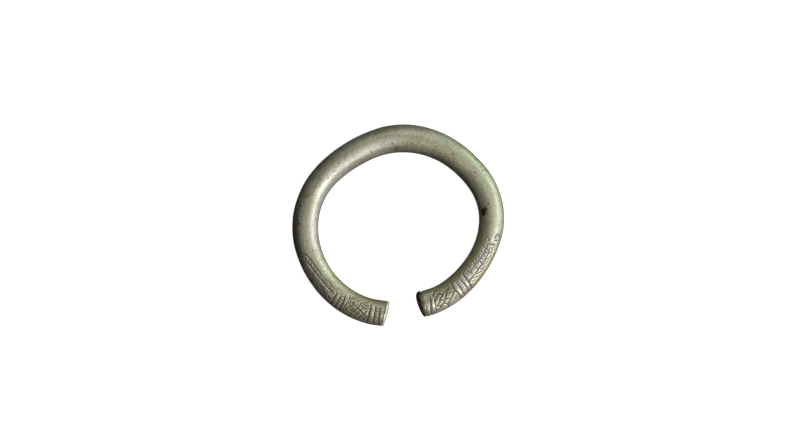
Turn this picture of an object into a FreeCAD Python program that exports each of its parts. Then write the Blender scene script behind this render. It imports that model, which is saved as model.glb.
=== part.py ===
"""Open bangle with two unlike ornamented ends: a filled silver tube, closed by a cap at each end.

The bangle lies flat on the XY plane with +Z up, its opening on the -Y side and its underside at Z = 0.
Angles run counterclockwise from +X, seen from above, so the path of the bar starts at the right end,
passes +X, the back (+Y) and -X, and stops at the left end. All lengths are in millimetres.
"""
import FreeCAD, Part
import math
import os
from FreeCAD import Vector

# Driving sizes of the hoop
hoop_radius = 35.1
bar_radius = 5.3
wall = 1.1
seam_width = 0.45
filling_gap = 0.02

# Driving sizes of the caps and their solder
cap_land_height = 0.45
left_dome_height = 0.75
right_dome_height = 1.45
cap_edge_round = 0.35
solder_thickness = 0.25
solder_recess = 0.2

# Driving sizes of the ring grooves
groove_round = 0.45
groove_depth = 0.35
ring_width = 1.87

# Driving sizes of the vent hole
vent_length = 3.0
vent_width = 1.4
vent_overrun = 0.4

# Length over which the sections turn from a skewed end face to square across the bar
skew_length = 12.0

# Places and turns in degrees
left_end_lean = -9.0
right_end_lean = 3.0
vent_angle = 9.2
vent_tilt = 37.0

# Stations of the bar: angle, then the centre line's share of hoop_radius and the bar's share of bar_radius
station_shares = (
    (-72.4, 0.880, 0.895),
    (-67.0, 0.885, 0.905),
    (-58.0, 0.894, 0.898),
    (-45.0, 0.904, 0.890),
    (-30.0, 0.923, 0.870),
    (-15.0, 0.954, 0.862),
    (0.0, 0.987, 0.895),
    (12.0, 0.999, 0.912),
    (23.0, 0.993, 0.925),
    (34.0, 0.976, 0.938),
    (46.0, 0.959, 0.952),
    (60.0, 0.948, 0.972),
    (75.0, 0.937, 0.995),
    (90.0, 0.926, 1.000),
    (105.0, 0.911, 0.972),
    (120.0, 0.904, 0.960),
    (135.0, 0.920, 0.942),
    (150.0, 0.955, 0.925),
    (165.0, 0.985, 0.922),
    (180.0, 1.000, 0.932),
    (195.0, 1.000, 0.912),
    (212.0, 0.994, 0.890),
    (230.0, 0.986, 0.902),
    (245.0, 0.975, 0.908),
    (254.0, 0.964, 0.920),
    (260.3, 0.954, 0.926),
)

# Ring grooves from each end inwards: width of the ring before the groove as a share of ring_width,
# depth as a share of groove_depth, and degrees by which the groove's outer side leans towards its end
left_groove_shares = (
    (0.85, 0.80, 0.0),
    (1.00, 1.00, 0.0),
    (1.00, 1.00, 0.0),
    (5.00, 0.55, 2.0),
    (0.60, 1.00, 7.0),
    (1.00, 0.90, 7.0),
    (0.92, 1.00, 7.0),
)
right_groove_shares = (
    (1.20, 0.95, 11.0),
    (0.80, 0.70, 8.0),
    (4.80, 0.70, 2.0),
    (1.02, 0.65, 5.0),
    (1.14, 0.65, 7.0),
    (0.86, 1.00, 10.0),
)

# A groove's ring is shifted towards the wrist by this share of its depth, so it fades on the inner side
groove_shift_share = 0.6

LEFT = 1
RIGHT = -1
UP = Vector(0, 0, 1)


class Station:
    """One place along the bar: its middle, its directions and the bar's radius there."""

    def __init__(self, middle, outward, toward_end, radius):
        self.middle = middle
        self.outward = outward
        self.toward_end = toward_end
        self.radius = radius

    def at(self, out, up):
        """Point that lies so far outwards and upwards from the middle of the bar."""
        return self.middle + self.outward * out + UP * up


def plan_point(angle, radius_share):
    """Point of the centre line on the XY plane."""
    turn = math.radians(angle)
    reach = hoop_radius * radius_share
    return Vector(reach * math.cos(turn), reach * math.sin(turn), 0)


def make_plan_curve():
    """Smooth centre line on the XY plane, from the right end round to the left end."""
    points = [plan_point(angle, radius_share) for angle, radius_share, bar_share in station_shares]
    curve = Part.BSplineCurve()
    curve.interpolate(points)
    return curve


plan_curve = make_plan_curve()
plan_edge = plan_curve.toShape()


def bar_radius_at(plan):
    """Bar's radius at a point of the centre line, between the two stations beside it."""
    angle = math.degrees(math.atan2(plan.y, plan.x))
    opening_middle = (station_shares[0][0] + station_shares[-1][0] - 360.0) / 2
    if angle < opening_middle:
        angle += 360.0
    for here, following in zip(station_shares, station_shares[1:]):
        if angle <= following[0]:
            break
    step = min(max((angle - here[0]) / (following[0] - here[0]), 0.0), 1.0)
    return bar_radius * (here[2] + (following[2] - here[2]) * step)


def make_station(plan, end, lean):
    """Station at a point of the centre line, its outer side leaning towards the given end."""
    tangent = plan_curve.tangent(plan_curve.parameter(plan))[0]
    forward = Vector(tangent.x, tangent.y, 0).normalize()
    square_out = forward.cross(UP)
    square_end = forward * end
    turn = math.radians(lean)
    outward = square_out * math.cos(turn) + square_end * math.sin(turn)
    toward_end = square_end * math.cos(turn) - square_out * math.sin(turn)
    radius = bar_radius_at(plan)
    return Station(plan + UP * radius, outward, toward_end, radius)


def make_stations():
    """Stations of the whole bar, skewed near both ends as the end faces are."""
    stations = []
    for angle, radius_share, bar_share in station_shares:
        plan = plan_point(angle, radius_share)
        from_right = plan_curve.length(plan_curve.FirstParameter, plan_curve.parameter(plan))
        from_left = plan_edge.Length - from_right
        end, distance, end_lean = LEFT, from_left, left_end_lean
        if from_right < from_left:
            end, distance, end_lean = RIGHT, from_right, right_end_lean
        lean = end_lean * max(1.0 - distance / skew_length, 0.0)
        stations.append(make_station(plan, end, lean))
    return stations


def make_ring_station(end, distance, lean):
    """Station at a distance from one end, measured along the centre line."""
    along = distance
    if end == LEFT:
        along = plan_edge.Length - distance
    plan = plan_edge.valueAt(plan_edge.getParameterByLength(along))
    return make_station(plan, end, lean)


def arc(first, middle, last):
    """Edge of an arc through three points."""
    return Part.Arc(first, middle, last).toShape()


def line(first, last):
    """Straight edge between two points."""
    return Part.LineSegment(first, last).toShape()


def seam_lip(radius):
    """How far inwards of the bar's middle the seam's edges lie on a circle of this radius."""
    half = seam_width / 2
    return math.sqrt(radius * radius - half * half)


def round_edges(station, radius):
    """Circle of a section without its seam, as an upper and a lower arc."""
    lip = seam_lip(radius)
    half = seam_width / 2
    side = station.at(radius, 0)
    upper = arc(station.at(-lip, half), station.at(0, radius), side)
    lower = arc(side, station.at(0, -radius), station.at(-lip, -half))
    return [upper, lower]


def seam_edge(station, radius):
    """Short arc that closes a section's circle at the seam."""
    lip = seam_lip(radius)
    half = seam_width / 2
    return arc(station.at(-lip, -half), station.at(-radius, 0), station.at(-lip, half))


def lip_edge(station, up):
    """Side of the seam, from the tube's outside to its inside."""
    outer = station.radius
    inner = outer - wall
    return line(station.at(-seam_lip(outer), up), station.at(-seam_lip(inner), up))


def loft(sections):
    """Solid through closed sections, smooth along the bar."""
    return Part.makeLoft(sections, True, False)


def make_tube_body(stations):
    """Tube with an open seam, before its grooves and its vent hole are cut."""
    half = seam_width / 2
    sections = []
    for station in stations:
        edges = round_edges(station, station.radius)
        edges += round_edges(station, station.radius - wall)
        edges += [lip_edge(station, half), lip_edge(station, -half)]
        sections.append(Part.Wire(Part.__sortEdges__(edges)))
    return loft(sections)


def make_groove(end, distance, depth_share, lean):
    """Ring that cuts one groove, off centre so that the groove fades on the side facing the wrist."""
    station = make_ring_station(end, distance, lean)
    depth = groove_depth * depth_share
    shift = depth * groove_shift_share
    ring_radius = station.radius + groove_round - depth + shift
    centre = station.at(-shift, 0)
    return Part.makeTorus(ring_radius, groove_round, centre, station.toward_end)


def make_grooves(end, groove_shares):
    """All ring grooves of one end."""
    grooves = []
    distance = 0.0
    for width_share, depth_share, lean in groove_shares:
        distance += ring_width * width_share
        grooves.append(make_groove(end, distance, depth_share, lean))
    return grooves


def make_vent():
    """Oblong bar that cuts the vent hole through the wall, on the upper inner side."""
    plan = Vector(math.cos(math.radians(vent_angle)), math.sin(math.radians(vent_angle)), 0)
    plan = plan_curve.value(plan_curve.parameter(plan * hoop_radius))
    station = make_station(plan, LEFT, 0.0)
    end_radius = vent_width / 2
    reach = vent_length / 2 - end_radius
    corners = [Vector(-reach, end_radius, 0), Vector(reach, end_radius, 0)]
    corners += [Vector(reach, -end_radius, 0), Vector(-reach, -end_radius, 0)]
    outline = [
        line(corners[0], corners[1]),
        arc(corners[1], Vector(reach + end_radius, 0, 0), corners[2]),
        line(corners[2], corners[3]),
        arc(corners[3], Vector(-reach - end_radius, 0, 0), corners[0]),
    ]
    height = wall + vent_overrun * 2
    vent = Part.Face(Part.Wire(outline)).extrude(UP * height)
    tilt = math.radians(vent_tilt)
    through = UP * math.cos(tilt) - station.outward * math.sin(tilt)
    start = station.middle + through * (station.radius - wall - vent_overrun)
    along = station.toward_end
    turn = FreeCAD.Rotation(along, through.cross(along), through, "ZXY")
    vent.Placement = FreeCAD.Placement(start, turn)
    return vent


def make_hoop_tube(stations):
    """Tube with its seam, ring grooves and vent hole."""
    cutters = make_grooves(LEFT, left_groove_shares)
    cutters += make_grooves(RIGHT, right_groove_shares)
    cutters.append(make_vent())
    return make_tube_body(stations).cut(cutters)


def make_inner_seam_solder(stations):
    """Strip of solder that fills the seam."""
    half = seam_width / 2
    sections = []
    for station in stations:
        edges = [seam_edge(station, station.radius), seam_edge(station, station.radius - wall)]
        edges += [lip_edge(station, half), lip_edge(station, -half)]
        sections.append(Part.Wire(Part.__sortEdges__(edges)))
    return loft(sections)


def core_radius(station):
    """Radius of the filling, which has shrunk a little from the tube."""
    return station.radius - wall - filling_gap


def make_core_plug(station):
    """Short length of filling inside the ring of solder, up to the back of the cap."""
    return Part.makeCylinder(core_radius(station), solder_thickness, station.middle, station.toward_end)


def make_filling_core(stations):
    """Filling of the tube, from the back of one cap to the back of the other."""
    sections = []
    for station in stations:
        radius = core_radius(station)
        edges = round_edges(station, radius) + [seam_edge(station, radius)]
        sections.append(Part.Wire(Part.__sortEdges__(edges)))
    plugs = [make_core_plug(stations[0]), make_core_plug(stations[-1])]
    return loft(sections).fuse(plugs).removeSplitter()


def make_cap_solder(station):
    """Ring of solder between the tube's end and its cap, set back a little from the surface."""
    outside = station.radius - solder_recess
    inside = station.radius - wall
    ring = Part.makeCylinder(outside, solder_thickness, station.middle, station.toward_end)
    hole = Part.makeCylinder(inside, solder_thickness, station.middle, station.toward_end)
    return ring.cut(hole)


def direction_between(first, second):
    """Unit vector halfway between two directions."""
    return (first + second).normalize()


def make_end_cap(station, dome_height):
    """Domed disc over one end of the tube, with a rounded edge."""
    radius = station.radius
    dome_radius = (radius * radius + dome_height * dome_height) / (2 * dome_height)
    dome_middle = UP * (cap_land_height + dome_height - dome_radius)
    round_out = radius - cap_edge_round
    round_up = dome_middle.z + math.sqrt((dome_radius - cap_edge_round) ** 2 - round_out ** 2)
    round_middle = Vector(round_out, 0, round_up)
    sideways = Vector(1, 0, 0)
    slant = (round_middle - dome_middle).normalize()
    side_top = Vector(radius, 0, round_up)
    round_bend = round_middle + direction_between(sideways, slant) * cap_edge_round
    round_end = dome_middle + slant * dome_radius
    dome_bend = dome_middle + direction_between(slant, UP) * dome_radius
    dome_top = dome_middle + UP * dome_radius
    centre = Vector(0, 0, 0)
    side_foot = Vector(radius, 0, 0)
    outline = [
        line(centre, side_foot),
        line(side_foot, side_top),
        arc(side_top, round_bend, round_end),
        arc(round_end, dome_bend, dome_top),
        line(dome_top, centre),
    ]
    cap = Part.Face(Part.Wire(outline)).revolve(centre, UP, 360)
    start = station.middle + station.toward_end * solder_thickness
    cap.Placement = FreeCAD.Placement(start, FreeCAD.Rotation(UP, station.toward_end))
    return cap


def main():
    """Build every piece, centre them on the bangle's own box and write one file for each."""
    os.makedirs("parts", exist_ok=True)
    stations = make_stations()
    right_end = stations[0]
    left_end = stations[-1]
    pieces = {
        "hoop_tube": make_hoop_tube(stations),
        "inner_seam_solder": make_inner_seam_solder(stations),
        "left_end_cap": make_end_cap(left_end, left_dome_height),
        "right_end_cap": make_end_cap(right_end, right_dome_height),
        "left_cap_solder": make_cap_solder(left_end),
        "right_cap_solder": make_cap_solder(right_end),
        "filling_core": make_filling_core(stations),
    }
    box = Part.Compound(list(pieces.values())).optimalBoundingBox(False, False)
    shift = Vector(-box.Center.x, -box.Center.y, -box.ZMin)
    print("shift", shift, "box", box.XLength, box.YLength, box.ZLength)
    for name, piece in pieces.items():
        piece.translate(shift)
        print(name, len(piece.Solids), piece.isValid(), round(piece.Volume, 3))
        piece.exportStep(os.path.join("parts", name + ".step"))


main()
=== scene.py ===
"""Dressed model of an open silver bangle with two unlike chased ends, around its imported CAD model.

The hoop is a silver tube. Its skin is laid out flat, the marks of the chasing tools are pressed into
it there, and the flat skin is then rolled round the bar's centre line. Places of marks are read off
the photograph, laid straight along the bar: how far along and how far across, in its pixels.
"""
import logging
import math
from collections.abc import Iterable
from dataclasses import dataclass
from enum import Enum

import bmesh
import bpy
import numpy as np
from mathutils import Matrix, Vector


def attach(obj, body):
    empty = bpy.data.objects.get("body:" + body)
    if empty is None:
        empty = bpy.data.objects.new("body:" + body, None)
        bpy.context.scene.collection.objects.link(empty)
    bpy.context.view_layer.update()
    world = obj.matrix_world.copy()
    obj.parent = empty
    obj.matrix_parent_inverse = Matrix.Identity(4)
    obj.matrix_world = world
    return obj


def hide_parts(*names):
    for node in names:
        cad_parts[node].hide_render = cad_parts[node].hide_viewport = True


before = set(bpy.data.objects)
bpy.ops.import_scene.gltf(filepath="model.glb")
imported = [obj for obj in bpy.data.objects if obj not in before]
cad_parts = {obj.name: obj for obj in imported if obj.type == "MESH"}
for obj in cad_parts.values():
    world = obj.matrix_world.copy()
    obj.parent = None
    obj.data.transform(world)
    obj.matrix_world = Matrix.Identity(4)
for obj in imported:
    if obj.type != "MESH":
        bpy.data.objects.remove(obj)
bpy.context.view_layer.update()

log = logging.getLogger("bangle")

MM = 0.001
PIXEL = 0.375 * MM
OBJECT_CENTRE_PX = (397.85, 225.05)
IMAGE_PX = (800, 445)
BODY = "root"
UPWARD = np.array([0.0, 0.0, 1.0])

Point2 = tuple[float, float]
Colour = tuple[float, float, float, float]
Marks = list["Mark"]


class End(Enum):
    """The two ends of the bar, with the direction along the centre line that leads out of each."""

    LEFT = 1
    RIGHT = -1


class Press(Enum):
    """Kinds of marks. One kind is pressed after the other, because nearby marks of one kind merge."""

    BAND = "raised bands"
    BEAD = "beads"
    GROOVE = "ring grooves"
    LINE = "chased lines"
    NOTCH = "notches and pits"


def from_photo(x: float, y: float) -> Point2:
    """Place on the ground plane, in metres, of a pixel of the photograph."""
    return (x - OBJECT_CENTRE_PX[0]) * PIXEL, (OBJECT_CENTRE_PX[1] - y) * PIXEL


class Wire:
    """Output socket of a node. Arithmetic on it adds Math nodes, or Vector Math nodes for vectors."""

    def __init__(self, maker: "NodeMaker", socket: bpy.types.NodeSocket) -> None:
        """Wraps an output socket of a node that the maker added."""
        self.maker = maker
        self.socket = socket

    def _math(self, operation: str, *values: "Wire | float") -> "Wire":
        """Adds one Math node.

        Args:
            operation: Math node operation.
            values: its inputs in order.

        Returns:
            The node's result.
        """
        return self.maker.node("ShaderNodeMath", {"operation": operation}, dict(enumerate(values)))

    def __add__(self, other: "Wire | float") -> "Wire":
        """Sum."""
        return self._math("ADD", self, other)

    def __radd__(self, other: float) -> "Wire":
        """Sum with a number on the left."""
        return self._math("ADD", other, self)

    def __sub__(self, other: "Wire | float") -> "Wire":
        """Difference."""
        return self._math("SUBTRACT", self, other)

    def __rsub__(self, other: float) -> "Wire":
        """Difference with a number on the left."""
        return self._math("SUBTRACT", other, self)

    def __mul__(self, other: "Wire | float") -> "Wire":
        """Product."""
        return self._math("MULTIPLY", self, other)

    def __rmul__(self, other: float) -> "Wire":
        """Product with a number on the left."""
        return self._math("MULTIPLY", other, self)

    def __truediv__(self, other: "Wire | float") -> "Wire":
        """Quotient."""
        return self._math("DIVIDE", self, other)

    def __pow__(self, other: "Wire | float") -> "Wire":
        """Power."""
        return self._math("POWER", self, other)

    def least(self, other: "Wire | float") -> "Wire":
        """Smaller of two values."""
        return self._math("MINIMUM", self, other)

    def most(self, other: "Wire | float") -> "Wire":
        """Larger of two values."""
        return self._math("MAXIMUM", self, other)

    def sine(self) -> "Wire":
        """Sine."""
        return self._math("SINE", self)

    def cosine(self) -> "Wire":
        """Cosine."""
        return self._math("COSINE", self)

    def absolute(self) -> "Wire":
        """Value without its sign."""
        return self._math("ABSOLUTE", self)

    def fade(self, start: float, stop: float) -> "Wire":
        """Adds a smooth step on this value.

        Args:
            start: value at which the step is 0.
            stop: value at which it is 1. It may be the smaller of the two.

        Returns:
            The step, between 0 and 1.
        """
        settings = {"interpolation_type": "SMOOTHSTEP"}
        values = {"Value": self, "From Min": start, "From Max": stop}
        return self.maker.node("ShaderNodeMapRange", settings, values)

    def vector(self, operation: str, other: "Wire | tuple | float | None" = None) -> "Wire":
        """Adds one Vector Math node on this vector.

        Args:
            operation: Vector Math operation; SCALE takes a number.
            other: second input, where the operation has one.

        Returns:
            The resulting vector, or the value for DISTANCE.
        """
        values: dict = {0: self}
        if other is not None:
            values["Scale" if operation == "SCALE" else 1] = other
        out = "Value" if operation == "DISTANCE" else "Vector"
        return self.maker.node("ShaderNodeVectorMath", {"operation": operation}, values, out)

    def parts(self) -> tuple["Wire", "Wire", "Wire"]:
        """The vector's three components."""
        node = self.maker.raw("ShaderNodeSeparateXYZ", {}, {0: self})
        return tuple(Wire(self.maker, node.outputs[name]) for name in "XYZ")


class NodeMaker:
    """Adds nodes to a shader tree or a geometry tree."""

    def __init__(self, tree: bpy.types.NodeTree) -> None:
        """Takes the tree to which nodes are added."""
        self.tree = tree

    def raw(self, kind: str, settings: dict, values: dict) -> bpy.types.Node:
        """Adds any node.

        Args:
            kind: the node's type name.
            settings: attributes of the node, which are set first.
            values: numbers, colours, data-blocks or wires by input name or index.

        Returns:
            The node.
        """
        node = self.tree.nodes.new(kind)
        for name, value in settings.items():
            setattr(node, name, value)
        for name, value in values.items():
            socket = self._input(node, name)
            if isinstance(value, Wire):
                self.tree.links.new(value.socket, socket)
            else:
                socket.default_value = value
        return node

    def _input(self, node: bpy.types.Node, name: str | int) -> bpy.types.NodeSocket:
        """Finds an input socket.

        Args:
            node: the node.
            name: the name of an enabled socket, or the index of any.

        Returns:
            The socket.
        """
        if isinstance(name, int):
            return node.inputs[name]
        shown = [socket for socket in node.inputs if socket.name == name and socket.enabled]
        return shown[0] if shown else node.inputs[name]

    def node(self, kind: str, settings: dict, values: dict, out: str | int | None = None) -> Wire:
        """Adds any node and gives one output.

        Args:
            kind: the node's type name.
            settings: as for raw.
            values: as for raw.
            out: output name or index; the first enabled output if left out.

        Returns:
            That output as a wire.
        """
        made = self.raw(kind, settings, values)
        if out is None:
            return Wire(self, [socket for socket in made.outputs if socket.enabled][0])
        if isinstance(out, int):
            return Wire(self, made.outputs[out])
        named = [socket for socket in made.outputs if socket.name == out and socket.enabled]
        return Wire(self, named[0])

    def blend(self, factor: Wire | float, first: Wire | Colour, second: Wire | Colour) -> Wire:
        """Mix of two colours.

        Args:
            factor: share of the second colour.
            first: colour at factor 0.
            second: colour at factor 1.

        Returns:
            The mixed colour.
        """
        values = {0: factor, "A": first, "B": second}
        return self.node("ShaderNodeMix", {"data_type": "RGBA", "blend_type": "MIX"}, values)


@dataclass(frozen=True)
class Centreline:
    """Centre line of the bar in plan, with the bar's radius and the lean of its sections.

    The stations are the CAD model's: angle in degrees counterclockwise from +X, the centre line's
    share of hoop_radius and the bar's share of bar_radius. Lengths are in millimetres.
    """

    hoop_radius: float = 35.1
    bar_radius: float = 5.3
    frame_shift: Point2 = (0.248, 0.0205)
    left_end_lean: float = -9.0
    right_end_lean: float = 3.0
    skew_length: float = 12.0
    right_flare: float = 0.05
    flare_length: float = 9.0
    step: float = 0.4
    probe: float = 0.2
    samples: int = 4001
    stations: tuple[tuple[float, float, float], ...] = (
        (-72.4, 0.880, 0.895), (-67.0, 0.885, 0.905), (-58.0, 0.894, 0.898), (-45.0, 0.904, 0.890),
        (-30.0, 0.923, 0.870), (-15.0, 0.954, 0.862), (0.0, 0.987, 0.895), (12.0, 0.999, 0.912),
        (23.0, 0.993, 0.925), (34.0, 0.976, 0.938), (46.0, 0.959, 0.952), (60.0, 0.948, 0.972),
        (75.0, 0.937, 0.995), (90.0, 0.926, 1.000), (105.0, 0.911, 0.972), (120.0, 0.904, 0.960),
        (135.0, 0.920, 0.942), (150.0, 0.955, 0.925), (165.0, 0.985, 0.922), (180.0, 1.000, 0.932),
        (195.0, 1.000, 0.912), (212.0, 0.994, 0.890), (230.0, 0.986, 0.902), (245.0, 0.975, 0.908),
        (254.0, 0.964, 0.920), (260.3, 0.954, 0.926),
    )

    def smooth(self, column: int, angles: np.ndarray) -> np.ndarray:
        """Smooth curve through one column of the stations.

        Args:
            column: 1 for the centre line's share, 2 for the bar's.
            angles: angles in degrees to read it at.

        Returns:
            The shares at those angles.
        """
        table = np.array(self.stations)
        knots, values = table[:, 0], table[:, column]
        gaps = np.diff(knots)
        slopes = np.diff(values) / gaps
        count = len(knots)
        system = np.eye(count)
        right = np.zeros(count)
        for row in range(1, count - 1):
            system[row, row - 1:row + 2] = (gaps[row - 1], 2 * (gaps[row - 1] + gaps[row]), gaps[row])
            right[row] = 6 * (slopes[row] - slopes[row - 1])
        bends = np.linalg.solve(system, right)
        at = np.clip(np.searchsorted(knots, angles) - 1, 0, count - 2)
        before, after, gap = angles - knots[at], knots[at + 1] - angles, gaps[at]
        ends = (values[at] * after + values[at + 1] * before) / gap
        lift = bends[at] * (after ** 3 / gap - gap * after)
        lift += bends[at + 1] * (before ** 3 / gap - gap * before)
        return ends + lift / 6

    def trace(self) -> tuple[np.ndarray, np.ndarray, np.ndarray]:
        """Points along the centre line.

        Returns:
            Distances from the right end, plan points and bar radii, all in metres.
        """
        angles = np.linspace(self.stations[0][0], self.stations[-1][0], self.samples)
        turns = np.radians(angles)
        reach = self.smooth(1, angles) * self.hoop_radius * MM
        points = np.stack([reach * np.cos(turns), reach * np.sin(turns)], 1)
        points += np.array(self.frame_shift) * MM
        steps = np.hypot(*np.diff(points, axis=0).T)
        along = np.concatenate([[0.0], np.cumsum(steps)])
        flare = self.right_flare * np.clip(1 - along / (self.flare_length * MM), 0, 1)
        return along, points, self.smooth(2, angles) * self.bar_radius * MM * (1 + flare)

    def length(self) -> float:
        """Length of the centre line in metres."""
        return float(self.trace()[0][-1])

    def along_at(self, angle: float) -> float:
        """Distance from the right end at an angle.

        Args:
            angle: degrees counterclockwise from +X.

        Returns:
            The distance in metres.
        """
        share = (angle - self.stations[0][0]) / (self.stations[-1][0] - self.stations[0][0])
        distances = self.trace()[0]
        return float(np.interp(share, np.linspace(0, 1, len(distances)), distances))

    def lean(self, along: np.ndarray) -> np.ndarray:
        """Angle by which a section's outer side leans towards the left end, in radians.

        Args:
            along: distances from the right end.

        Returns:
            The lean at each of them.
        """
        skew = self.skew_length * MM
        right = -self.right_end_lean * np.clip(1 - along / skew, 0, 1)
        left = self.left_end_lean * np.clip(1 - (self.length() - along) / skew, 0, 1)
        return np.radians(right + left)

    def make_guide(self) -> bpy.types.Object:
        """Makes a chain of edges along the centre line.

        Returns:
            Object whose points carry the bar's radius and the lean.
        """
        along, points, radii = self.trace()
        places = np.linspace(0, along[-1], int(along[-1] / (self.step * MM)))
        plan = [np.interp(places, along, points[:, axis]) for axis in (0, 1)]
        chain = [(x, y, 0.0) for x, y in zip(*plan)]
        links = [(index, index + 1) for index in range(len(chain) - 1)]
        mesh = bpy.data.meshes.new("centre line")
        mesh.from_pydata(chain, links, [])
        values = {"bar_radius": np.interp(places, along, radii), "lean": self.lean(places)}
        for name, numbers in values.items():
            layer = mesh.attributes.new(name, "FLOAT", "POINT")
            layer.data.foreach_set("value", numbers.astype(np.float32))
        return bpy.data.objects.new("centre line", mesh)

    def frame_at(self, along: float) -> tuple[np.ndarray, np.ndarray, np.ndarray, float]:
        """Section of the bar at a distance from the right end.

        Args:
            along: that distance in metres.

        Returns:
            Its middle, its outward direction, its direction along the bar, and its radius.
        """
        distances, points, radii = self.trace()
        middle = np.array([np.interp(along, distances, points[:, axis]) for axis in (0, 1)])
        near = np.clip([along - self.probe * MM, along + self.probe * MM], 0, distances[-1])
        forward = np.array([np.diff(np.interp(near, distances, points[:, axis]))[0] for axis in (0, 1)])
        forward /= np.hypot(*forward)
        radius = float(np.interp(along, distances, radii))
        lean = float(self.lean(np.array([along]))[0])
        square = np.array([forward[1], -forward[0]])
        outward = square * math.cos(lean) + forward * math.sin(lean)
        onward = forward * math.cos(lean) - square * math.sin(lean)
        return np.array([*middle, radius]), np.array([*outward, 0.0]), np.array([*onward, 0.0]), radius


@dataclass(frozen=True)
class Mark:
    """One mark of a tool on the flat skin.

    Points are pixels of the straightened photograph: distance along the bar and distance across it,
    positive on the outer side. Width is in pixels, depth in millimetres, negative where it stands up.
    """

    points: tuple[Point2, ...]
    press: Press = Press.LINE
    width: float = 1.5
    depth: float = 0.2


@dataclass(frozen=True)
class Terminal:
    """One chased end of the bar: where its marks start and the line about which they are mirrored.

    Pixels are those of the straightened photograph. The mirror angle is in degrees round the bar from
    its top, the point gap in millimetres and the join gap in radians. The border is the lower edge
    of the chased field.
    """

    end: End
    joint_px: float
    mirror_angle: float
    border: tuple[Point2, ...]
    bar_px: float = 12.9
    rim_share: float = 0.995
    point_gap: float = 0.14
    join_gap: float = 0.08

    def angle(self, across: float) -> float:
        """Angle round the bar from its top, positive outwards, of a distance across it in pixels."""
        return math.asin(max(-self.rim_share, min(self.rim_share, across / self.bar_px)))

    def margin(self, from_end: np.ndarray, turns: np.ndarray) -> np.ndarray:
        """How far places lie inside the plain margin below the chased field.

        Args:
            from_end: distances from this end, in metres.
            turns: angles round the bar.

        Returns:
            That distance in millimetres for each pair, negative in the field.
        """
        places = from_end / PIXEL + self.joint_px
        edge = np.interp(places, [point[0] for point in self.border], [point[1] for point in self.border])
        gap = np.arcsin(edge / self.bar_px)[:, None] - turns[None, :]
        return gap * self.bar_px * PIXEL / MM

    def chain(self, mark: Mark) -> list[Point2]:
        """Points of a mark, close together, on the seen side up to the mirror line.

        Args:
            mark: the mark.

        Returns:
            Pixels along the bar and angle round it, for each point.
        """
        limit = math.radians(self.mirror_angle)
        seen = [(along, self.angle(across)) for along, across in mark.points]
        dense: list[Point2] = []
        for (first, low), (last, high) in zip(seen, seen[1:]):
            run = math.hypot((last - first) * PIXEL, (high - low) * self.bar_px * PIXEL)
            count = max(1, round(run / (self.point_gap * MM)))
            dense += [(first + (last - first) * k / count, low + (high - low) * k / count)
                      for k in range(count)]
        dense.append(seen[-1])
        return [(along, turn) for along, turn in dense if turn <= limit]

    def copies(self, mark: Mark) -> list[list[Point2]]:
        """The mark and its mirror image, joined where the mark reaches the mirror line.

        Args:
            mark: the mark.

        Returns:
            One or two chains of points.
        """
        limit = math.radians(self.mirror_angle)
        seen = self.chain(mark)
        if len(seen) < 2:
            return []
        far = [(along, 2 * limit - turn) for along, turn in seen]
        for chain, other in ((seen, far), (seen[::-1], far[::-1])):
            if limit - chain[-1][1] < self.join_gap:
                return [chain + other[::-1]]
        return [seen, far]


LEFT_BORDER = ((0, -7.4), (6, -8), (33, -8.6), (40, -9.5), (44, -12.8))
RIGHT_BORDER = (
    (0, -9.4), (14, -9.2), (20, -8.8), (25, -5.6), (36, -5.4), (38, -8.6), (40, -8.4), (42, -5.2),
    (54, -4.8), (57, -7.2), (75, -7), (81, -5.6), (102, -5.4), (106, -9), (114, -12.8),
)
# Distances across the bar, in pixels, at which ring grooves and the left feather's barbs pass over
# its outer rim
RIM = 12.8
BARB_RIM = 12.4
# How far back along the bar a barb meets the rim, in pixels, at which share of that way it bends, and
# how far it bows out there
BARB_BACK = 7.5
BARB_BEND = 0.6
BARB_BOW = 0.3
# Points along a raised band
BAND_POINTS = 8


def line(*points: Point2, width: float = 2.2, depth: float = 0.12) -> Mark:
    """Chased line through points."""
    return Mark(points, Press.LINE, width, depth)


def groove(*points: Point2, width: float = 2.4, depth: float = 0.16) -> Mark:
    """Ring groove through points."""
    return Mark(points, Press.GROOVE, width, depth)


def band(along: float, top: float, bottom: float, width: float, height: float, shift: float = 0.0) -> Mark:
    """Raised ring across the bar.

    Args:
        along: where its upper end lies along the bar.
        top: where its upper end lies across the bar.
        bottom: the same for its lower end.
        width: its width.
        height: how far it stands up, in millimetres.
        shift: how much further along the bar its lower end lies.

    Returns:
        The mark.
    """
    points = tuple((along + shift * (top - across) / (top - bottom), across)
                   for across in np.linspace(top, bottom, BAND_POINTS))
    return Mark(points, Press.BAND, width, -height)


def bead(along: float, across: float, width: float = 2.4, height: float = 0.05) -> Mark:
    """Low round bead."""
    return Mark(((along - 0.5, across), (along + 0.5, across)), Press.BEAD, width, -height)


def notch(*points: Point2, width: float = 1.3, depth: float = 0.1) -> Mark:
    """Short notch between beads, or a punched pit."""
    return Mark(points, Press.NOTCH, width, depth)


def pit(along: float, across: float, width: float = 1.9, depth: float = 0.13) -> Mark:
    """Punched pit."""
    return notch((along - 0.15, across + 0.1), (along + 0.15, across - 0.1), width=width, depth=depth)


def lines(strokes: tuple[tuple[Point2, ...], ...], width: float, depth: float) -> Marks:
    """Chased lines of one width and depth."""
    return [line(*points, width=width, depth=depth) for points in strokes]


def to_rim(points: tuple[Point2, ...]) -> tuple[Point2, ...]:
    """Leads a barb's first point on to the rim in a slight bow.

    Args:
        points: the barb.

    Returns:
        The longer line.
    """
    along, across = points[0]
    bend = (along - BARB_BACK * BARB_BEND, (across + BARB_RIM) / 2 + BARB_BOW)
    return ((along - BARB_BACK, BARB_RIM), bend) + points


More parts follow.
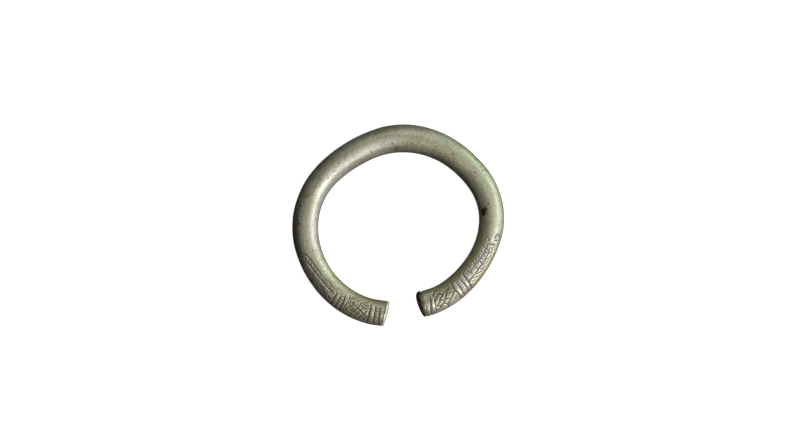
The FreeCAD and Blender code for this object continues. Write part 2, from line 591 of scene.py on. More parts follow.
def left_rings() -> Marks:
    """Ring grooves, raised bands and beads of the left end.

    Returns:
        The marks.
    """
    marks = [
        groove((10, RIM), (10, 9.6), (10.5, 6), (10.5, 2.8), (10.3, 0.3), (10.4, -1.8), (9.8, -4.9),
               (9.8, -7)),
        groove((14.8, RIM), (15, 6), (15, 2.3), (15.4, 0.1), (14.7, -2.7), (15, -4.9), (14.8, -7.6),
               width=2.6),
        groove((19.8, RIM), (20.4, 7.6), (20, 3.7), (20.5, 1), (19.9, -2.7), (20, -5.4), (20.6, -8),
               width=3.0),
        groove((46.5, RIM), (47.5, 8.5), (47.7, 5.7), (47.8, 2.3), (48.4, -0.1), (48.9, -2), (49.6, -3.9),
               (49.9, -5.2), width=2.6),
        groove((51.4, RIM), (51.9, 9.2), (51.9, 7.1), (52.3, 4.9), (52.8, 3.3), (53.2, 0.7), (53.2, -1.5),
               (53.8, -3.8)),
        groove((55.1, RIM), (56.4, 8.8), (57, 6.4), (57.5, 3.3), (57.7, 0.9), (58.3, -1), (58.9, -2.3),
               width=2.5),
        band(8, RIM, -8, 3.2, 0.05), band(17.7, RIM, -8, 3.8, 0.05),
        band(50, RIM, -4.6, 3.2, 0.03, 2.2), band(54.6, RIM, -3.2, 3.2, 0.05, 1.8),
    ]
    for across in (12.3, 11.2, 9.6, 7.3, 5.1, 3, 0.8, -2, -4.9):
        marks.append(notch((11.4, across), (14.4, across + 0.15), width=1.5, depth=0.19))
    for across in (12.5, 11.8, 10.5, 8.5, 6.2, 4.1, 1.9, -0.6, -3.2, -6.1):
        marks.append(bead(13, across))
    for across in (11.7, 9.9, 7.1, 4.2, 1.4, -2):
        start, stop = (48.7 - across * 0.15, across), (51.8 - across * 0.1, across + 0.15)
        marks.append(notch(start, stop, width=1.6, depth=0.17))
    for across in (12.3, 10.9, 8.5, 5.7, 2.8, -0.3, -3.4):
        marks.append(bead(50.6 - across * 0.13, across, 2.8, 0.07))
    return marks


def left_panel() -> Marks:
    """Lattice of crossed lines and lobes between the left end's two beaded bands.

    Returns:
        The marks.
    """
    bold = (
        ((22.3, 6.8), (28.2, 2.7), (31.4, 1.4), (35.3, -0.7), (38.3, -1.3), (41.4, -2.2), (44.2, -3.6)),
        ((22.1, 9.6), (24.6, 8), (28.7, 6.1), (32.2, 5), (35.9, 3.6), (39.5, 1.8), (43.6, 1.1)),
        ((21.7, 10.9), (24.1, 9.8), (28, 8.4), (31, 7.3), (35.1, 5.3), (38.4, 4.4), (41.6, 3.8)),
        ((37.2, -4.4), (38.4, -1.7), (39.6, 1), (41.6, 4.8), (42.6, 8.6)),
        ((30.8, -6.6), (32.1, -2.6), (33.4, 1.4), (34.9, 4.7), (36.4, 8.1)),
        ((27.1, -2.6), (28.7, -0.1), (30.2, 3.5), (31.6, 8.1)),
        ((22.6, -0.6), (24.6, 1.9), (26.3, 5.4), (28, 8.4)),
        ((24.6, -1), (27.5, -2), (30, -3.4), (32.3, -4.3)),
        ((43.6, 11.5), (43.8, 8.5), (44.4, 5), (44.6, 1), (44.3, -3.6)),
    )
    fine = (
        ((28.4, 9.6), (32.1, 9.3), (36, 8.3), (40.5, 7.8), (44, 7.1)),
        ((21.2, 4.6), (22.4, 6.4), (24.1, 9.8)), ((22.5, -0.2), (23.4, 0.9), (25.2, 1.4)),
        ((35.9, 5.8), (38.2, 5.5), (39.6, 4.9)),
        ((43.4, 1.2), (42.5, -0.7), (40.5, -2), (37.6, -4), (35.9, -5.5)), ((35.4, -1.7), (33.8, -3.2)),
        ((24.5, 11.8), (28, 10.9), (31.5, 10.7)), ((33.5, 11.4), (37.5, 10.2), (42.5, 9.6)),
        ((31.6, 8.1), (32.3, 11)), ((36.4, 8.1), (37.3, 11.4)), ((28, 8.4), (28.6, 11)),
    )
    lobes = (
        ((21.8, -6.2), (24.1, -4.8), (26.4, -4.6), (29.7, -6.5)),
        ((23.4, -8.3), (26, -7.9), (28.2, -8.1), (29.3, -6.8), (31, -5.6), (32.3, -4.6)),
        ((33.5, -8.5), (34.4, -7.3), (35.9, -5.5)), ((44.4, -3.9), (43, -6), (41.7, -8.4)),
        ((44.4, -3.9), (45.8, -5.8), (46.1, -8)), ((38.2, -8), (41.2, -6.5)),
    )
    return lines(bold, 2.0, 0.14) + lines(fine, 1.9, 0.11) + lines(lobes, 2.2, 0.12)


def left_feather() -> Marks:
    """Feather that runs out along the bar from the left end.

    Returns:
        The marks.
    """
    outline = ((58.9, -2.2), (60.7, -2.7), (64.2, -2.8), (67.8, -3.1), (71.4, -3.5), (73.9, -3),
               (76.1, -2.7), (78.6, -2.4), (81.4, -2.1), (83.6, -1.8), (86.4, -1.6), (89.5, -1.1),
               (92.3, -0.8), (95.1, -0.3), (97.6, 0), (100.1, 0.5), (102.6, 1.2), (104.8, 2.3),
               (106.7, 3.6), (107.9, 5.6), (109.2, 8.1), (110.8, 10), (112.2, 12.4))
    shadow = ((59.5, 1.7), (65, 0.9), (69.8, 1), (74.4, 1.5), (79, 1.4), (83.3, 1.8), (87.5, 2.4),
              (92, 3), (96.7, 3.8), (100, 5))
    ridge = ((66.7, 4.3), (69.7, 3.2), (73.6, 3), (78.3, 3), (82.4, 3.4), (87.4, 4.2), (91.4, 4.9),
             (96.1, 6), (100.1, 7))
    ties = (
        ((61.3, 0), (62.1, -1.7)), ((63, 1.2), (64.2, -1.5)), ((65.4, 0.9), (66.6, -1), (67.8, -2.4)),
        ((68.5, 1.1), (69.7, -1.5)), ((71.4, 1.1), (73.3, -1.8)),
        ((73, 1.5), (74.8, -0.6), (76.1, -1.9)), ((75.6, 1.4), (77.3, -1.5)),
        ((77.9, 1.4), (79.4, -1.2)), ((80.4, 1.6), (82.3, -0.8)), ((83.9, 2), (85.4, -0.4)),
        ((87.6, 2.5), (89.7, 0.4)), ((91, 3), (93.8, 0.7)), ((95.4, 3.6), (98, 0.9)),
        ((100.1, 3.8), (101.6, 1.5)),
    )
    barbs = (
        ((62.5, 7.4), (65.3, 4.9), (67.4, 3.9)), ((66.4, 8), (69.2, 6.5), (71.6, 4.9)),
        ((69.2, 7.2), (72.9, 4.4)), ((71.8, 6.8), (75.4, 4.4)), ((74.3, 6.7), (78, 4.4)),
        ((77.3, 6.8), (80.7, 4.7)), ((79.7, 7), (83.6, 4.7)), ((82.1, 7.7), (85.9, 5.6)),
        ((85.6, 7.5), (88.6, 5.8)), ((87.3, 8.2), (91.1, 6.4)), ((90.2, 8.4), (94.1, 6.8)),
        ((92.9, 9), (96.8, 7.3)), ((96.2, 9.6), (99.2, 8.3)),
    )
    short = (
        ((101.4, 7.8), (100.75, 5.6)), ((102, 6.2), (104.8, 5)), ((103.8, 9.2), (106.6, 7.2)),
        ((58.9, 9.6), (60.4, 10.8), (62, 12.4)), ((101.6, 8.4), (101.2, 11)),
    )
    root = ((59.6, 6), (62.9, 5.6), (66.7, 4.5))
    marks = [line(*outline, width=2.4, depth=0.14), line(*shadow, width=2.8, depth=0.16),
             Mark(ridge, Press.BAND, 2.2, -0.12), Mark(root, Press.BAND, 3, -0.12)]
    marks += lines(ties, 2.1, 0.14)
    marks += [line(*to_rim(points), width=2.1, depth=0.15) for points in barbs]
    marks += lines(short, 2.1, 0.11)
    nicks = (
        ((80.75, -4.7), (81.7, -5.2)), ((112.3, -2.5), (113.9, -4.1)),
    )
    return marks + lines(nicks, 1.8, 0.09)


def right_rings() -> Marks:
    """Ring grooves, raised bands and beads of the right end.

    Returns:
        The marks.
    """
    marks = [
        groove((9.2, RIM), (9.4, 9.4), (10, 6), (10.8, 3.7), (11.6, 1), (12.5, -1.7), (13, -4.2),
               (13.2, -6.8), width=2.6, depth=0.15),
        groove((13.5, RIM), (14.3, 8.7), (14.8, 6.7), (15.4, 2.3), (16, -2), width=1.7, depth=0.10),
        groove((43.1, RIM), (43.7, 8.9), (44, 6.4), (44.2, 3.9), (45, 1.2), (45, -2), (44.6, -4.4),
               width=2.0),
        groove((47.7, RIM), (48.4, 9.2), (49.3, 6.7), (49.7, 3.7), (50, 0.1), (49.7, -4), width=2.0),
        groove((52.4, RIM), (52.7, 10), (53.4, 7.8), (54.3, 4.6), (54.5, 1.4), (55.4, -0.6), (55.4, -3.6),
               (56.3, -6), (57.3, -6.8), width=3.2, depth=0.16),
        groove((5.2, 10), (5.7, 6), (6.6, 3.7), (7.5, 3), (9.3, 3.4), width=1.6, depth=0.09),
        band(12, RIM, -6, 3.4, 0.09, 2.4), band(41, RIM, -5, 3.4, 0.08, 1.0),
        band(51.3, RIM, -3.5, 2.8, 0.08, 1.4),
    ]
    for across in (-0.3, -2.8, -5.6, -8.6):
        start, stop = (6.4 - across * 0.05, across), (9.4 - across * 0.05, across + 0.1)
        marks.append(notch(start, stop, width=1.5, depth=0.07))
    for across in (1.4, -1.5, -4.2, -7.1):
        marks.append(bead(7.8, across, 3.4, 0.08))
    marks.append(Mark(((7.6, 10.5), (7.7, 7.5), (8, 5)), Press.BEAD, 3.6, -0.10))
    for across in (6.8, 3.7, 1, -2, -5):
        marks.append(notch((45, across), (48.7, across + 0.15), width=1.5, depth=0.10))
    for across in (8.1, 5.4, 2.3, -0.6, -3.7):
        marks.append(bead(46.9, across, 3.2, 0.09))
    return marks + [pit(45, 1.2), pit(45, -2), pit(44.6, -4.2)]


def right_panel() -> Marks:
    """Crossed lines between the right end's rings.

    Returns:
        The marks.
    """
    bold = (
        ((15.2, 10.6), (17, 9.6), (19, 8.7), (20.6, 7.3), (22.5, 6.1), (24.4, 4.6), (25.9, 3),
         (27, 1.1), (28.5, -0.4), (29.6, -1.1), (30.8, -2.4), (31.1, -3.9)),
        ((16.1, 6.1), (17.8, 4.4), (19.4, 3), (20.9, 1.5), (22.2, -0.4), (24.4, -1.5), (26.3, -2.3),
         (27.3, -3)),
        ((15.4, 2.5), (16.3, -0.8), (17.8, -2.3), (19.4, -3.5), (21.3, -4.5), (23, -5), (24.6, -6.6)),
        ((15.6, -4.6), (16.8, -6.3), (18.2, -7.7), (19.4, -8.9)),
        ((26.3, 11.8), (26, 10.1), (27.1, 8.5), (29, 6.8), (30.6, 5.8), (32, 5.1), (33.7, 3.7),
         (35.6, 2.5), (37.3, 1.3), (38.5, 0.6)),
    )
    crossings = (
        ((16.3, 5.9), (18.6, 6.7), (20.2, 7.5)), ((20.9, 1.8), (23, 2.3), (25.8, 2.9)),
        ((23.2, 6.5), (24.9, 7.4), (26.2, 9)),
        ((25.9, 3), (27.3, 3.2), (29.2, 3.9), (30.9, 4.6), (32, 5.1)),
        ((30.4, -1.4), (32.8, -0.8), (34.4, -0.4), (36.3, 0.1), (38.4, 0.5)),
        ((31.1, -3.9), (32.8, -4.4), (35.4, -5.4)), ((22.9, -4.8), (24.3, -3.7), (26.7, -2.8)),
        ((27.3, -3), (28.4, -3.8), (29.6, -3.4), (30.8, -2.4)),
        ((33.3, 9), (35, 7.8), (36.8, 6.7), (38.6, 5.6)), ((19.4, -8.9), (22, -8.9), (24.2, -8.2)),
    )
    border = ((38.7, 11.8), (38.9, 9.8), (39.4, 5.3), (38.9, -0.2), (39.5, -4.5), (39.8, -8.4))
    return lines(bold, 2.8, 0.17) + lines(crossings, 2.3, 0.13) + [line(*border, width=2.4, depth=0.14)]


def right_feather() -> Marks:
    """Barbed feather that runs out along the bar from the right end.

    Returns:
        The marks.
    """
    thick = ((54.6, 3.4), (58, 3.6), (62, 3.6))
    midrib = ((62, 3.6), (65.7, 3.4), (71.2, 3.6), (76.9, 4), (80, 4.5), (83.8, 4.4), (87.4, 4.5),
              (91.9, 3.9), (95.4, 4.4))
    parting = ((58.5, -1.8), (63, -1.6), (68, -1.8), (71.2, -2), (75.7, -1.6), (78, -0.9), (84.7, -0.6),
               (87.3, -0.1), (89.2, -0.6), (91.9, -0.4), (94.6, -0.2), (95.4, -1.3), (96.9, -2.7),
               (98, -3.6))
    edge = ((57.3, -6.8), (63, -7.1), (69, -6.2), (72, -6.6), (76.5, -6), (82, -5.4), (90, -5.1),
            (97, -5), (102.6, -5))
    tip = ((97.6, -1.4), (99, -0.6), (100.7, 0.1), (101.9, -1.3), (102.7, -3.5), (102.6, -5))
    barbs = (
        ((56.2, 6.4), (57.3, 7), (59.1, 7.8)), ((59.5, 5.7), (61.6, 6.6), (64, 8)),
        ((63.8, 4.8), (64.6, 5.5), (66.4, 6.1), (68, 7), (69.9, 8.3)),
        ((70.2, 5.6), (71.2, 6.1), (72.5, 7), (74.1, 7.8), (76, 8.6)),
        ((74.8, 4.9), (76, 5.8), (77.8, 6.8), (80, 7.9), (81.8, 8.8)),
        ((81.4, 5.2), (82.8, 6.5), (85, 7.4), (87.4, 8.7)),
        ((87.6, 5.4), (89.2, 6.7), (90.9, 7.5), (92.6, 8.2)), ((91.9, 5.6), (93.8, 6.8), (95.6, 7.9)),
    )
    middle = (
        ((62.2, 2.2), (62.6, 0), (63, -1.6)), ((69.6, 2.4), (70.3, -0.6)),
        ((75.9, 3.6), (76.6, 1.4), (77.2, -0.6)), ((79.9, 2.4), (80.2, 0.9), (80.5, -0.6)),
        ((82.8, 3.2), (84, 1.3), (84.8, 0.3)), ((87, 3.6), (87.6, 1.6), (88.1, 0.2)),
        ((89.4, 3.8), (90.6, 1.8), (91.9, 0)),
    )
    low = (
        ((58.3, -3.3), (59.8, -4.3)), ((61.2, -3.1), (63.2, -4.5)), ((65, -4.3), (66.4, -5.7)),
        ((71.6, -2), (72.1, -4.3), (73.2, -6.4)), ((74.3, -3.3), (76.9, -5)),
        ((78.4, -2.4), (80.6, -3.7)), ((86.2, -2.6), (87.4, -3.7)), ((91, -2.4), (92.4, -3.5)),
    )
    collar = ((96.8, 8.6), (97.1, 6.5), (96.6, 3), (96.6, 0.3))
    neck = ((101.5, 9.3), (101.2, 6.5), (100.9, 4.9))
    loop = ((102.2, 4.6), (103, 5), (104.2, 6.1), (105.9, 6.7), (107.1, 7.6), (107, 8.9), (105.4, 10.3),
            (104.4, 11.4))
    marks = [line(*thick, width=3.4, depth=0.18), line(*midrib, width=2.8, depth=0.17),
             line(*parting, width=2.2, depth=0.11), line(*edge, width=1.6, depth=0.05),
             line(*tip, width=2.2, depth=0.11), line(*collar, width=3.2, depth=0.15),
             line((97.2, 3.8), (100.2, 4.6), width=2.2), line(*neck, width=2.6),
             line(*loop, width=3.0, depth=0.15), line((104.2, 8.7), (104.3, 7.7), width=1.8),
             Mark(((56, 5.6), (70, 5.3), (85, 6.1)), Press.BAND, 2.4, -0.05)]
    marks += lines(barbs, 2.6, 0.15) + lines(middle, 2.1, 0.13) + lines(low, 2.3, 0.17)
    return marks + [pit(66.2, 0.3, 2.4), pit(70, 0.2, 2.4), pit(73.5, 0.3), pit(68, -1.8, 1.5),
                    pit(65.8, -5, 2.2)]


@dataclass(frozen=True)
class FlatPlate:
    """Skin of the tube laid out flat: x along the bar, y round it, z outwards. Lengths in millimetres.

    Angles are in degrees. Between the chased ends, each column is column_growth times as wide as the
    one before, up to coarse_step.
    """

    flat_radius: float = 4.84
    wall: float = 1.1
    seam_width: float = 0.45
    fine_step: float = 0.165
    coarse_step: float = 1.5
    column_growth: float = 1.25
    chased_length: float = 41.5
    fine_angles: Point2 = (-44.0, 198.0)
    plain_row_step: float = 7.0
    wall_rows: int = 14
    no_margin: float = -9.0

    def columns(self, length: float) -> np.ndarray:
        """Distances along the bar, close together near both ends and wide apart between them.

        Args:
            length: the bar's length in metres.

        Returns:
            The distances in metres.
        """
        fine = np.arange(0, self.chased_length, self.fine_step)
        grown = [fine[-1]]
        step = self.fine_step
        while grown[-1] < length / MM / 2:
            step = min(step * self.column_growth, self.coarse_step)
            grown.append(grown[-1] + step)
        half = np.concatenate([fine, grown[1:]])
        half *= (length / MM / 2) / half[-1]
        return np.concatenate([half, (length / MM - half)[::-1][1:]]) * MM

    def outer_rows(self) -> np.ndarray:
        """Angles round the bar of the skin's rows, from one lip of the seam to the other.

        Returns:
            The angles in radians.
        """
        lip = math.degrees(math.asin(self.seam_width / 2 / self.flat_radius))
        low, high = self.fine_angles
        fine_gap = math.degrees(self.fine_step / self.flat_radius)
        before = np.linspace(-90 + lip, low, max(2, int((low + 90) / self.plain_row_step)))[:-1]
        fine = np.linspace(low, high, int((high - low) / fine_gap))
        after = np.linspace(high, 270 - lip, max(2, int((270 - high) / self.plain_row_step)))[1:]
        return np.radians(np.concatenate([before, fine, after]))

    def inner_rows(self) -> np.ndarray:
        """Angles of the inside's rows, going back from the second lip to the first."""
        lip = math.degrees(math.asin(self.seam_width / 2 / (self.flat_radius - self.wall)))
        return np.radians(np.linspace(270 - lip, -90 + lip, self.wall_rows))

    def make(self, length: float, terminals: Iterable[Terminal]) -> bpy.types.Object:
        """Closed plate with its skin, its inside, the lips of the seam and both end faces.

        Args:
            length: the bar's length in metres.
            terminals: both chased ends.

        Returns:
            The plate, with an attribute that is 1 on its skin and one for the plain margins.
        """
        columns, outer, inner = self.columns(length), self.outer_rows(), self.inner_rows()
        turns = np.concatenate([outer, inner]) * self.flat_radius * MM
        lifts = np.concatenate([np.zeros(len(outer)), np.full(len(inner), -self.wall * MM)])
        rows = len(turns)
        grid = np.zeros((len(columns), rows, 3))
        grid[..., 0], grid[..., 1], grid[..., 2] = columns[:, None], turns, lifts
        faces = []
        for column in range(len(columns) - 1):
            here, there = column * rows, (column + 1) * rows
            for row in range(rows):
                ahead = (row + 1) % rows
                faces.append((here + row, there + row, there + ahead, here + ahead))
        faces += self.end_face(outer, inner, 0, False)
        faces += self.end_face(outer, inner, (len(columns) - 1) * rows, True)
        mesh = bpy.data.meshes.new("flat skin")
        mesh.from_pydata(grid.reshape(-1, 3).tolist(), [], faces)
        skin = np.tile(np.concatenate([np.ones(len(outer)), np.zeros(len(inner))]), len(columns))
        angles = turns / (self.flat_radius * MM)
        margin = np.full((len(columns), rows), self.no_margin)
        for terminal in terminals:
            from_end = columns if terminal.end is End.RIGHT else length - columns
            margin = np.maximum(margin, terminal.margin(from_end, angles))
        for name, values in (("skin", skin), ("margin", margin.ravel() * skin)):
            layer = mesh.attributes.new(name, "FLOAT", "POINT")
            layer.data.foreach_set("value", values.astype(np.float32))
        return bpy.data.objects.new("flat skin", mesh)

    def end_face(self, outer: np.ndarray, inner: np.ndarray, start: int,
                 far: bool) -> list[tuple[int, ...]]:
        """Triangles between the skin's edge and the inside's edge at one end.

        Args:
            outer: angles of the skin's rows.
            inner: angles of the inside's rows.
            start: index of the end's first vertex.
            far: whether it is the end with the largest distances.

        Returns:
            The triangles, facing out of the bar.
        """
        back = len(outer) + len(inner) - 1
        row, step, faces = 0, 0, []
        while row < len(outer) - 1 or step < len(inner) - 1:
            inner_next = inner[len(inner) - 2 - step] if step < len(inner) - 1 else math.inf
            outer_next = outer[row + 1] if row < len(outer) - 1 else math.inf
            if outer_next <= inner_next:
                triangle = (start + row, start + row + 1, start + back - step)
                row += 1
            else:
                triangle = (start + row, start + back - step - 1, start + back - step)
                step += 1
            faces.append(triangle if not far else triangle[::-1])
        return faces


@dataclass(frozen=True)
class Chasing:
    """How strokes taper towards their tips and grow shallow on the bar's flanks.

    The tip shares are those of a stroke's depth and width at its very end, and its depth grows by
    tip_growth times the share of its length. Flank angles are in radians round the bar.
    """

    tip_depth: float = 0.45
    tip_width: float = 0.6
    tip_growth: float = 4.0
    flank_angles: Point2 = (0.85, 1.2)
    flank_depth: float = 0.35

    def gather(self, press: Press, terminals: dict[Terminal, Marks], flat_radius: float,
               line_of: Centreline) -> bpy.types.Object:
        """Chains of edges in the flat skin's plane for all marks of one kind.

        Args:
            press: the kind.
            terminals: each chased end and its marks.
            flat_radius: millimetres of the flat skin for each radian round the bar.
            line_of: the bar's centre line.

        Returns:
            Object whose points carry each mark's reach and depth, in metres.
        """
        points, links, reaches, depths = [], [], [], []
        flat = flat_radius * MM
        length = line_of.length()
        for terminal, marks in terminals.items():
            for mark in (one for one in marks if one.press is press):
                for chain in terminal.copies(mark):
                    first = len(points)
                    for place, (along_px, turn) in enumerate(chain):
                        share = place / max(len(chain) - 1, 1)
                        fade = min(1.0, self.tip_depth + self.tip_growth * min(share, 1 - share))
                        flank = np.interp(abs(turn), self.flank_angles, (1.0, self.flank_depth))
                        from_end = (along_px - terminal.joint_px) * PIXEL
                        along = from_end if terminal.end is End.RIGHT else length - from_end
                        points.append((along, turn * flat, 0.0))
                        width = mark.width * (self.tip_width + (1 - self.tip_width) * fade)
                        reaches.append(width * PIXEL / 2)
                        depths.append(mark.depth * MM * fade * flank)
                    links += [(index, index + 1) for index in range(first, len(points) - 1)]
        spots = np.array(points)
        outward = np.sin(spots[:, 1] / flat) * Terminal.bar_px * PIXEL
        spots[:, 0] -= outward * np.tan(line_of.lean(spots[:, 0]))
        mesh = bpy.data.meshes.new(press.value)
        mesh.from_pydata(spots.tolist(), links, [])
        for name, numbers in (("reach", reaches), ("depth", depths)):
            layer = mesh.attributes.new(name, "FLOAT", "POINT")
            layer.data.foreach_set("value", np.array(numbers, np.float32))
        return bpy.data.objects.new(press.value, mesh)


class GeometryTree(NodeMaker):
    """Geometry Nodes tree with named inputs, whose result ends in one material."""

    def __init__(self, name: str, inputs: tuple[tuple[str, str], ...]) -> None:
        """Starts the tree.

        Args:
            name: its name.
            inputs: label and socket type of each input, apart from the geometry and the material.
        """
        tree = bpy.data.node_groups.new(name, "GeometryNodeTree")
        tree.is_modifier = True
        super().__init__(tree)
        tree.interface.new_socket("Geometry", in_out="INPUT", socket_type="NodeSocketGeometry")
        for label, kind in inputs + (("Metal", "NodeSocketMaterial"),):
            tree.interface.new_socket(label, in_out="INPUT", socket_type=kind)
        tree.interface.new_socket("Geometry", in_out="OUTPUT", socket_type="NodeSocketGeometry")
        self.entry = tree.nodes.new("NodeGroupInput")

    def given(self, label: str) -> Wire:
        """One of the tree's inputs."""
        return Wire(self, self.entry.outputs[label])

    def shape_of(self, label: str) -> Wire:
        """Geometry of the object that one of the tree's inputs names."""
        return self.node("GeometryNodeObjectInfo", {"transform_space": "ORIGINAL"},
                         {"Object": self.given(label)}, "Geometry")

    def field(self, name: str) -> Wire:
        """Value of a named attribute."""
        return self.node("GeometryNodeInputNamedAttribute", {"data_type": "FLOAT"}, {"Name": name}, 0)

    def note(self, shape: Wire, name: str, value: Wire) -> Wire:
        """Stores a value on a shape's points under a name."""
        return self.node("GeometryNodeStoreNamedAttribute", {"data_type": "FLOAT", "domain": "POINT"},
                         {"Geometry": shape, "Name": name, "Value": value})

    def upright(self, height: Wire) -> Wire:
        """Vector that points up by a height."""
        return self.node("ShaderNodeCombineXYZ", {}, {"Z": height})

    def close(self, shape: Wire) -> None:
        """Ends the tree in Realize Instances and Set Material.

        Args:
            shape: the finished geometry.
        """
        real = self.node("GeometryNodeRealizeInstances", {}, {"Geometry": shape})
        dressed = self.node("GeometryNodeSetMaterial", {},
                            {"Geometry": real, "Material": self.given("Metal")})
        last = self.tree.nodes.new("NodeGroupOutput")
        self.tree.links.new(dressed.socket, last.inputs[0])

    def apply_to(self, target: bpy.types.Object, values: dict[str, object]) -> None:
        """Adds the tree to an object as a modifier.

        Args:
            target: the object.
            values: the inputs by name.
        """
        modifier = target.modifiers.new(self.tree.name, "NODES")
        modifier.node_group = self.tree
        for item in self.tree.interface.items_tree:
            if item.in_out == "INPUT" and item.name in values:
                modifier[item.identifier] = values[item.name]


# The burr beside a mark: where it stands and half its width, as shares of the mark's reach
BURR_PLACE = 1.25
BURR_WIDTH = 0.45
# Depth in millimetres from which a mark holds its full deposit
DEPOSIT_DEPTH = 0.11
# How much faster than the distance the polish beside a mark grows
POLISH_GAIN = 2.0
# Noise value below which the skin is dented
DENT_LEVEL = 0.75


def make_pressing_tree() -> GeometryTree:
    """Tree that presses one kind of marks into the flat skin and notes how deep each place lies.

    Returns:
        The tree. It writes the attributes cavity and polish.
    """
    tree = GeometryTree("pressed marks", (
        ("Marks", "NodeSocketObject"), ("Steepness", "NodeSocketFloat"), ("Burr", "NodeSocketFloat"),
        ("Deposit", "NodeSocketFloat"), ("Deposit Focus", "NodeSocketFloat"),
        ("Polish Reach", "NodeSocketFloat")))
    marks = tree.shape_of("Marks")
    flat = tree.node("GeometryNodeInputPosition", {}, {}).vector("MULTIPLY", (1.0, 1.0, 0.0))
    away = tree.node("GeometryNodeProximity", {"target_element": "EDGES"},
                     {"Geometry": marks, "Sample Position": flat}, "Distance")
    nearest = tree.node("GeometryNodeSampleNearest", {"domain": "POINT"},
                        {"Geometry": marks, "Sample Position": flat}, "Index")
    reach, depth = (
        tree.node("GeometryNodeSampleIndex", {"data_type": "FLOAT", "domain": "POINT"},
                  {"Geometry": marks, "Value": tree.field(name), "Index": nearest})
        for name in ("reach", "depth"))
    share = away / reach
    within = (1.0 - share).most(0.0)
    rounded = 1.0 - (1.0 - within).most(0.0) ** 2.0
    cut = rounded.most(0.0) ** tree.given("Steepness")
    ridge = 1.0 - ((share - BURR_PLACE).absolute() / BURR_WIDTH).least(1.0)
    skin = tree.field("skin")
    lift = (ridge * ridge * tree.given("Burr") - cut) * depth * skin
    moved = tree.node("GeometryNodeSetPosition", {},
                      {"Geometry": tree.given("Geometry"), "Offset": tree.upright(lift)})
    held = (depth / (DEPOSIT_DEPTH * MM)).most(0.0).least(1.0)
    soot = cut ** tree.given("Deposit Focus") * tree.given("Deposit") * held * skin
    shine = ((1.0 - away / tree.given("Polish Reach")).most(0.0) * POLISH_GAIN).least(1.0)
    moved = tree.note(moved, "cavity", soot.most(tree.field("cavity")))
    tree.close(tree.note(moved, "polish", shine.most(tree.field("polish")) * skin))
    return tree


def make_rolling_tree() -> GeometryTree:
    """Tree that rolls the flat skin round the centre line, beats it slightly uneven and cuts the vent.

    Returns:
        The tree. It writes the attributes around and along.
    """
    tree = GeometryTree("rolled bar", (
        ("Guide", "NodeSocketObject"), ("Cutter", "NodeSocketObject"), ("Flat Radius", "NodeSocketFloat"),
        ("Dent Depth", "NodeSocketFloat"), ("Dent Scale", "NodeSocketFloat"), ("Seed", "NodeSocketFloat")))
    guide = tree.node("GeometryNodeMeshToCurve", {}, {"Mesh": tree.shape_of("Guide")})
    along, around, height = tree.node("GeometryNodeInputPosition", {}, {}).parts()
    sampled = {}
    for name in ("bar_radius", "lean"):
        settings = {"mode": "LENGTH", "data_type": "FLOAT", "use_all_curves": True}
        node = tree.raw("GeometryNodeSampleCurve", settings,
                        {"Curves": guide, "Value": tree.field(name), "Length": along})
        sampled[name] = Wire(tree, [out for out in node.outputs if out.name == "Value" and out.enabled][0])
    middle, forward = Wire(tree, node.outputs["Position"]), Wire(tree, node.outputs["Tangent"])
    radius, lean = sampled["bar_radius"], sampled["lean"]
    square = forward.vector("CROSS_PRODUCT", (0.0, 0.0, 1.0))
    outward = square.vector("SCALE", lean.cosine()).vector("ADD", forward.vector("SCALE", lean.sine()))
    turn = around / tree.given("Flat Radius")
    reach = radius + height
    place = middle.vector("ADD", outward.vector("SCALE", reach * turn.sine()))
    place = place.vector("ADD", tree.upright(radius + reach * turn.cosine()))
    away = outward.vector("SCALE", turn.sine()).vector("ADD", tree.upright(turn.cosine()))
    values = {"Vector": place, "W": tree.given("Seed"), "Scale": tree.given("Dent Scale"), "Detail": 2.0}
    beat = tree.node("ShaderNodeTexNoise", {"noise_dimensions": "4D"}, values, 0) - DENT_LEVEL
    dent = away.vector("SCALE", beat.least(0.0) * tree.given("Dent Depth") * tree.field("skin"))
    noted = tree.note(tree.note(tree.given("Geometry"), "around", turn), "along", along)
    bent = tree.node("GeometryNodeSetPosition", {},
                     {"Geometry": noted, "Position": place.vector("ADD", dent)})
    opened = tree.node("GeometryNodeMeshBoolean", {"operation": "DIFFERENCE", "solver": "EXACT"},
                       {"Mesh 1": bent, "Mesh 2": tree.shape_of("Cutter")}, "Mesh")
    tree.close(opened)
    return tree


def settle(made: bpy.types.Object, name: str, crease: float = 38.0) -> bpy.types.Object:
    """Turns an object with modifiers into a plain mesh object in the scene.

    Args:
        made: the object, linked to the scene for as long as it is read.
        name: the finished piece's name.
        crease: angle in degrees above which an edge stays sharp.

    Returns:
        The finished piece at the origin.
    """
    scene = bpy.context.scene
    scene.collection.objects.link(made)
    graph = bpy.context.evaluated_depsgraph_get()
    mesh = bpy.data.meshes.new_from_object(made.evaluated_get(graph), depsgraph=graph)
    scene.collection.objects.unlink(made)
    mesh.name = name
    mesh.polygons.foreach_set("use_smooth", [True] * len(mesh.polygons))
    mesh.set_sharp_from_angle(angle=math.radians(crease))
    piece = bpy.data.objects.new(name, mesh)
    scene.collection.objects.link(piece)
    return piece


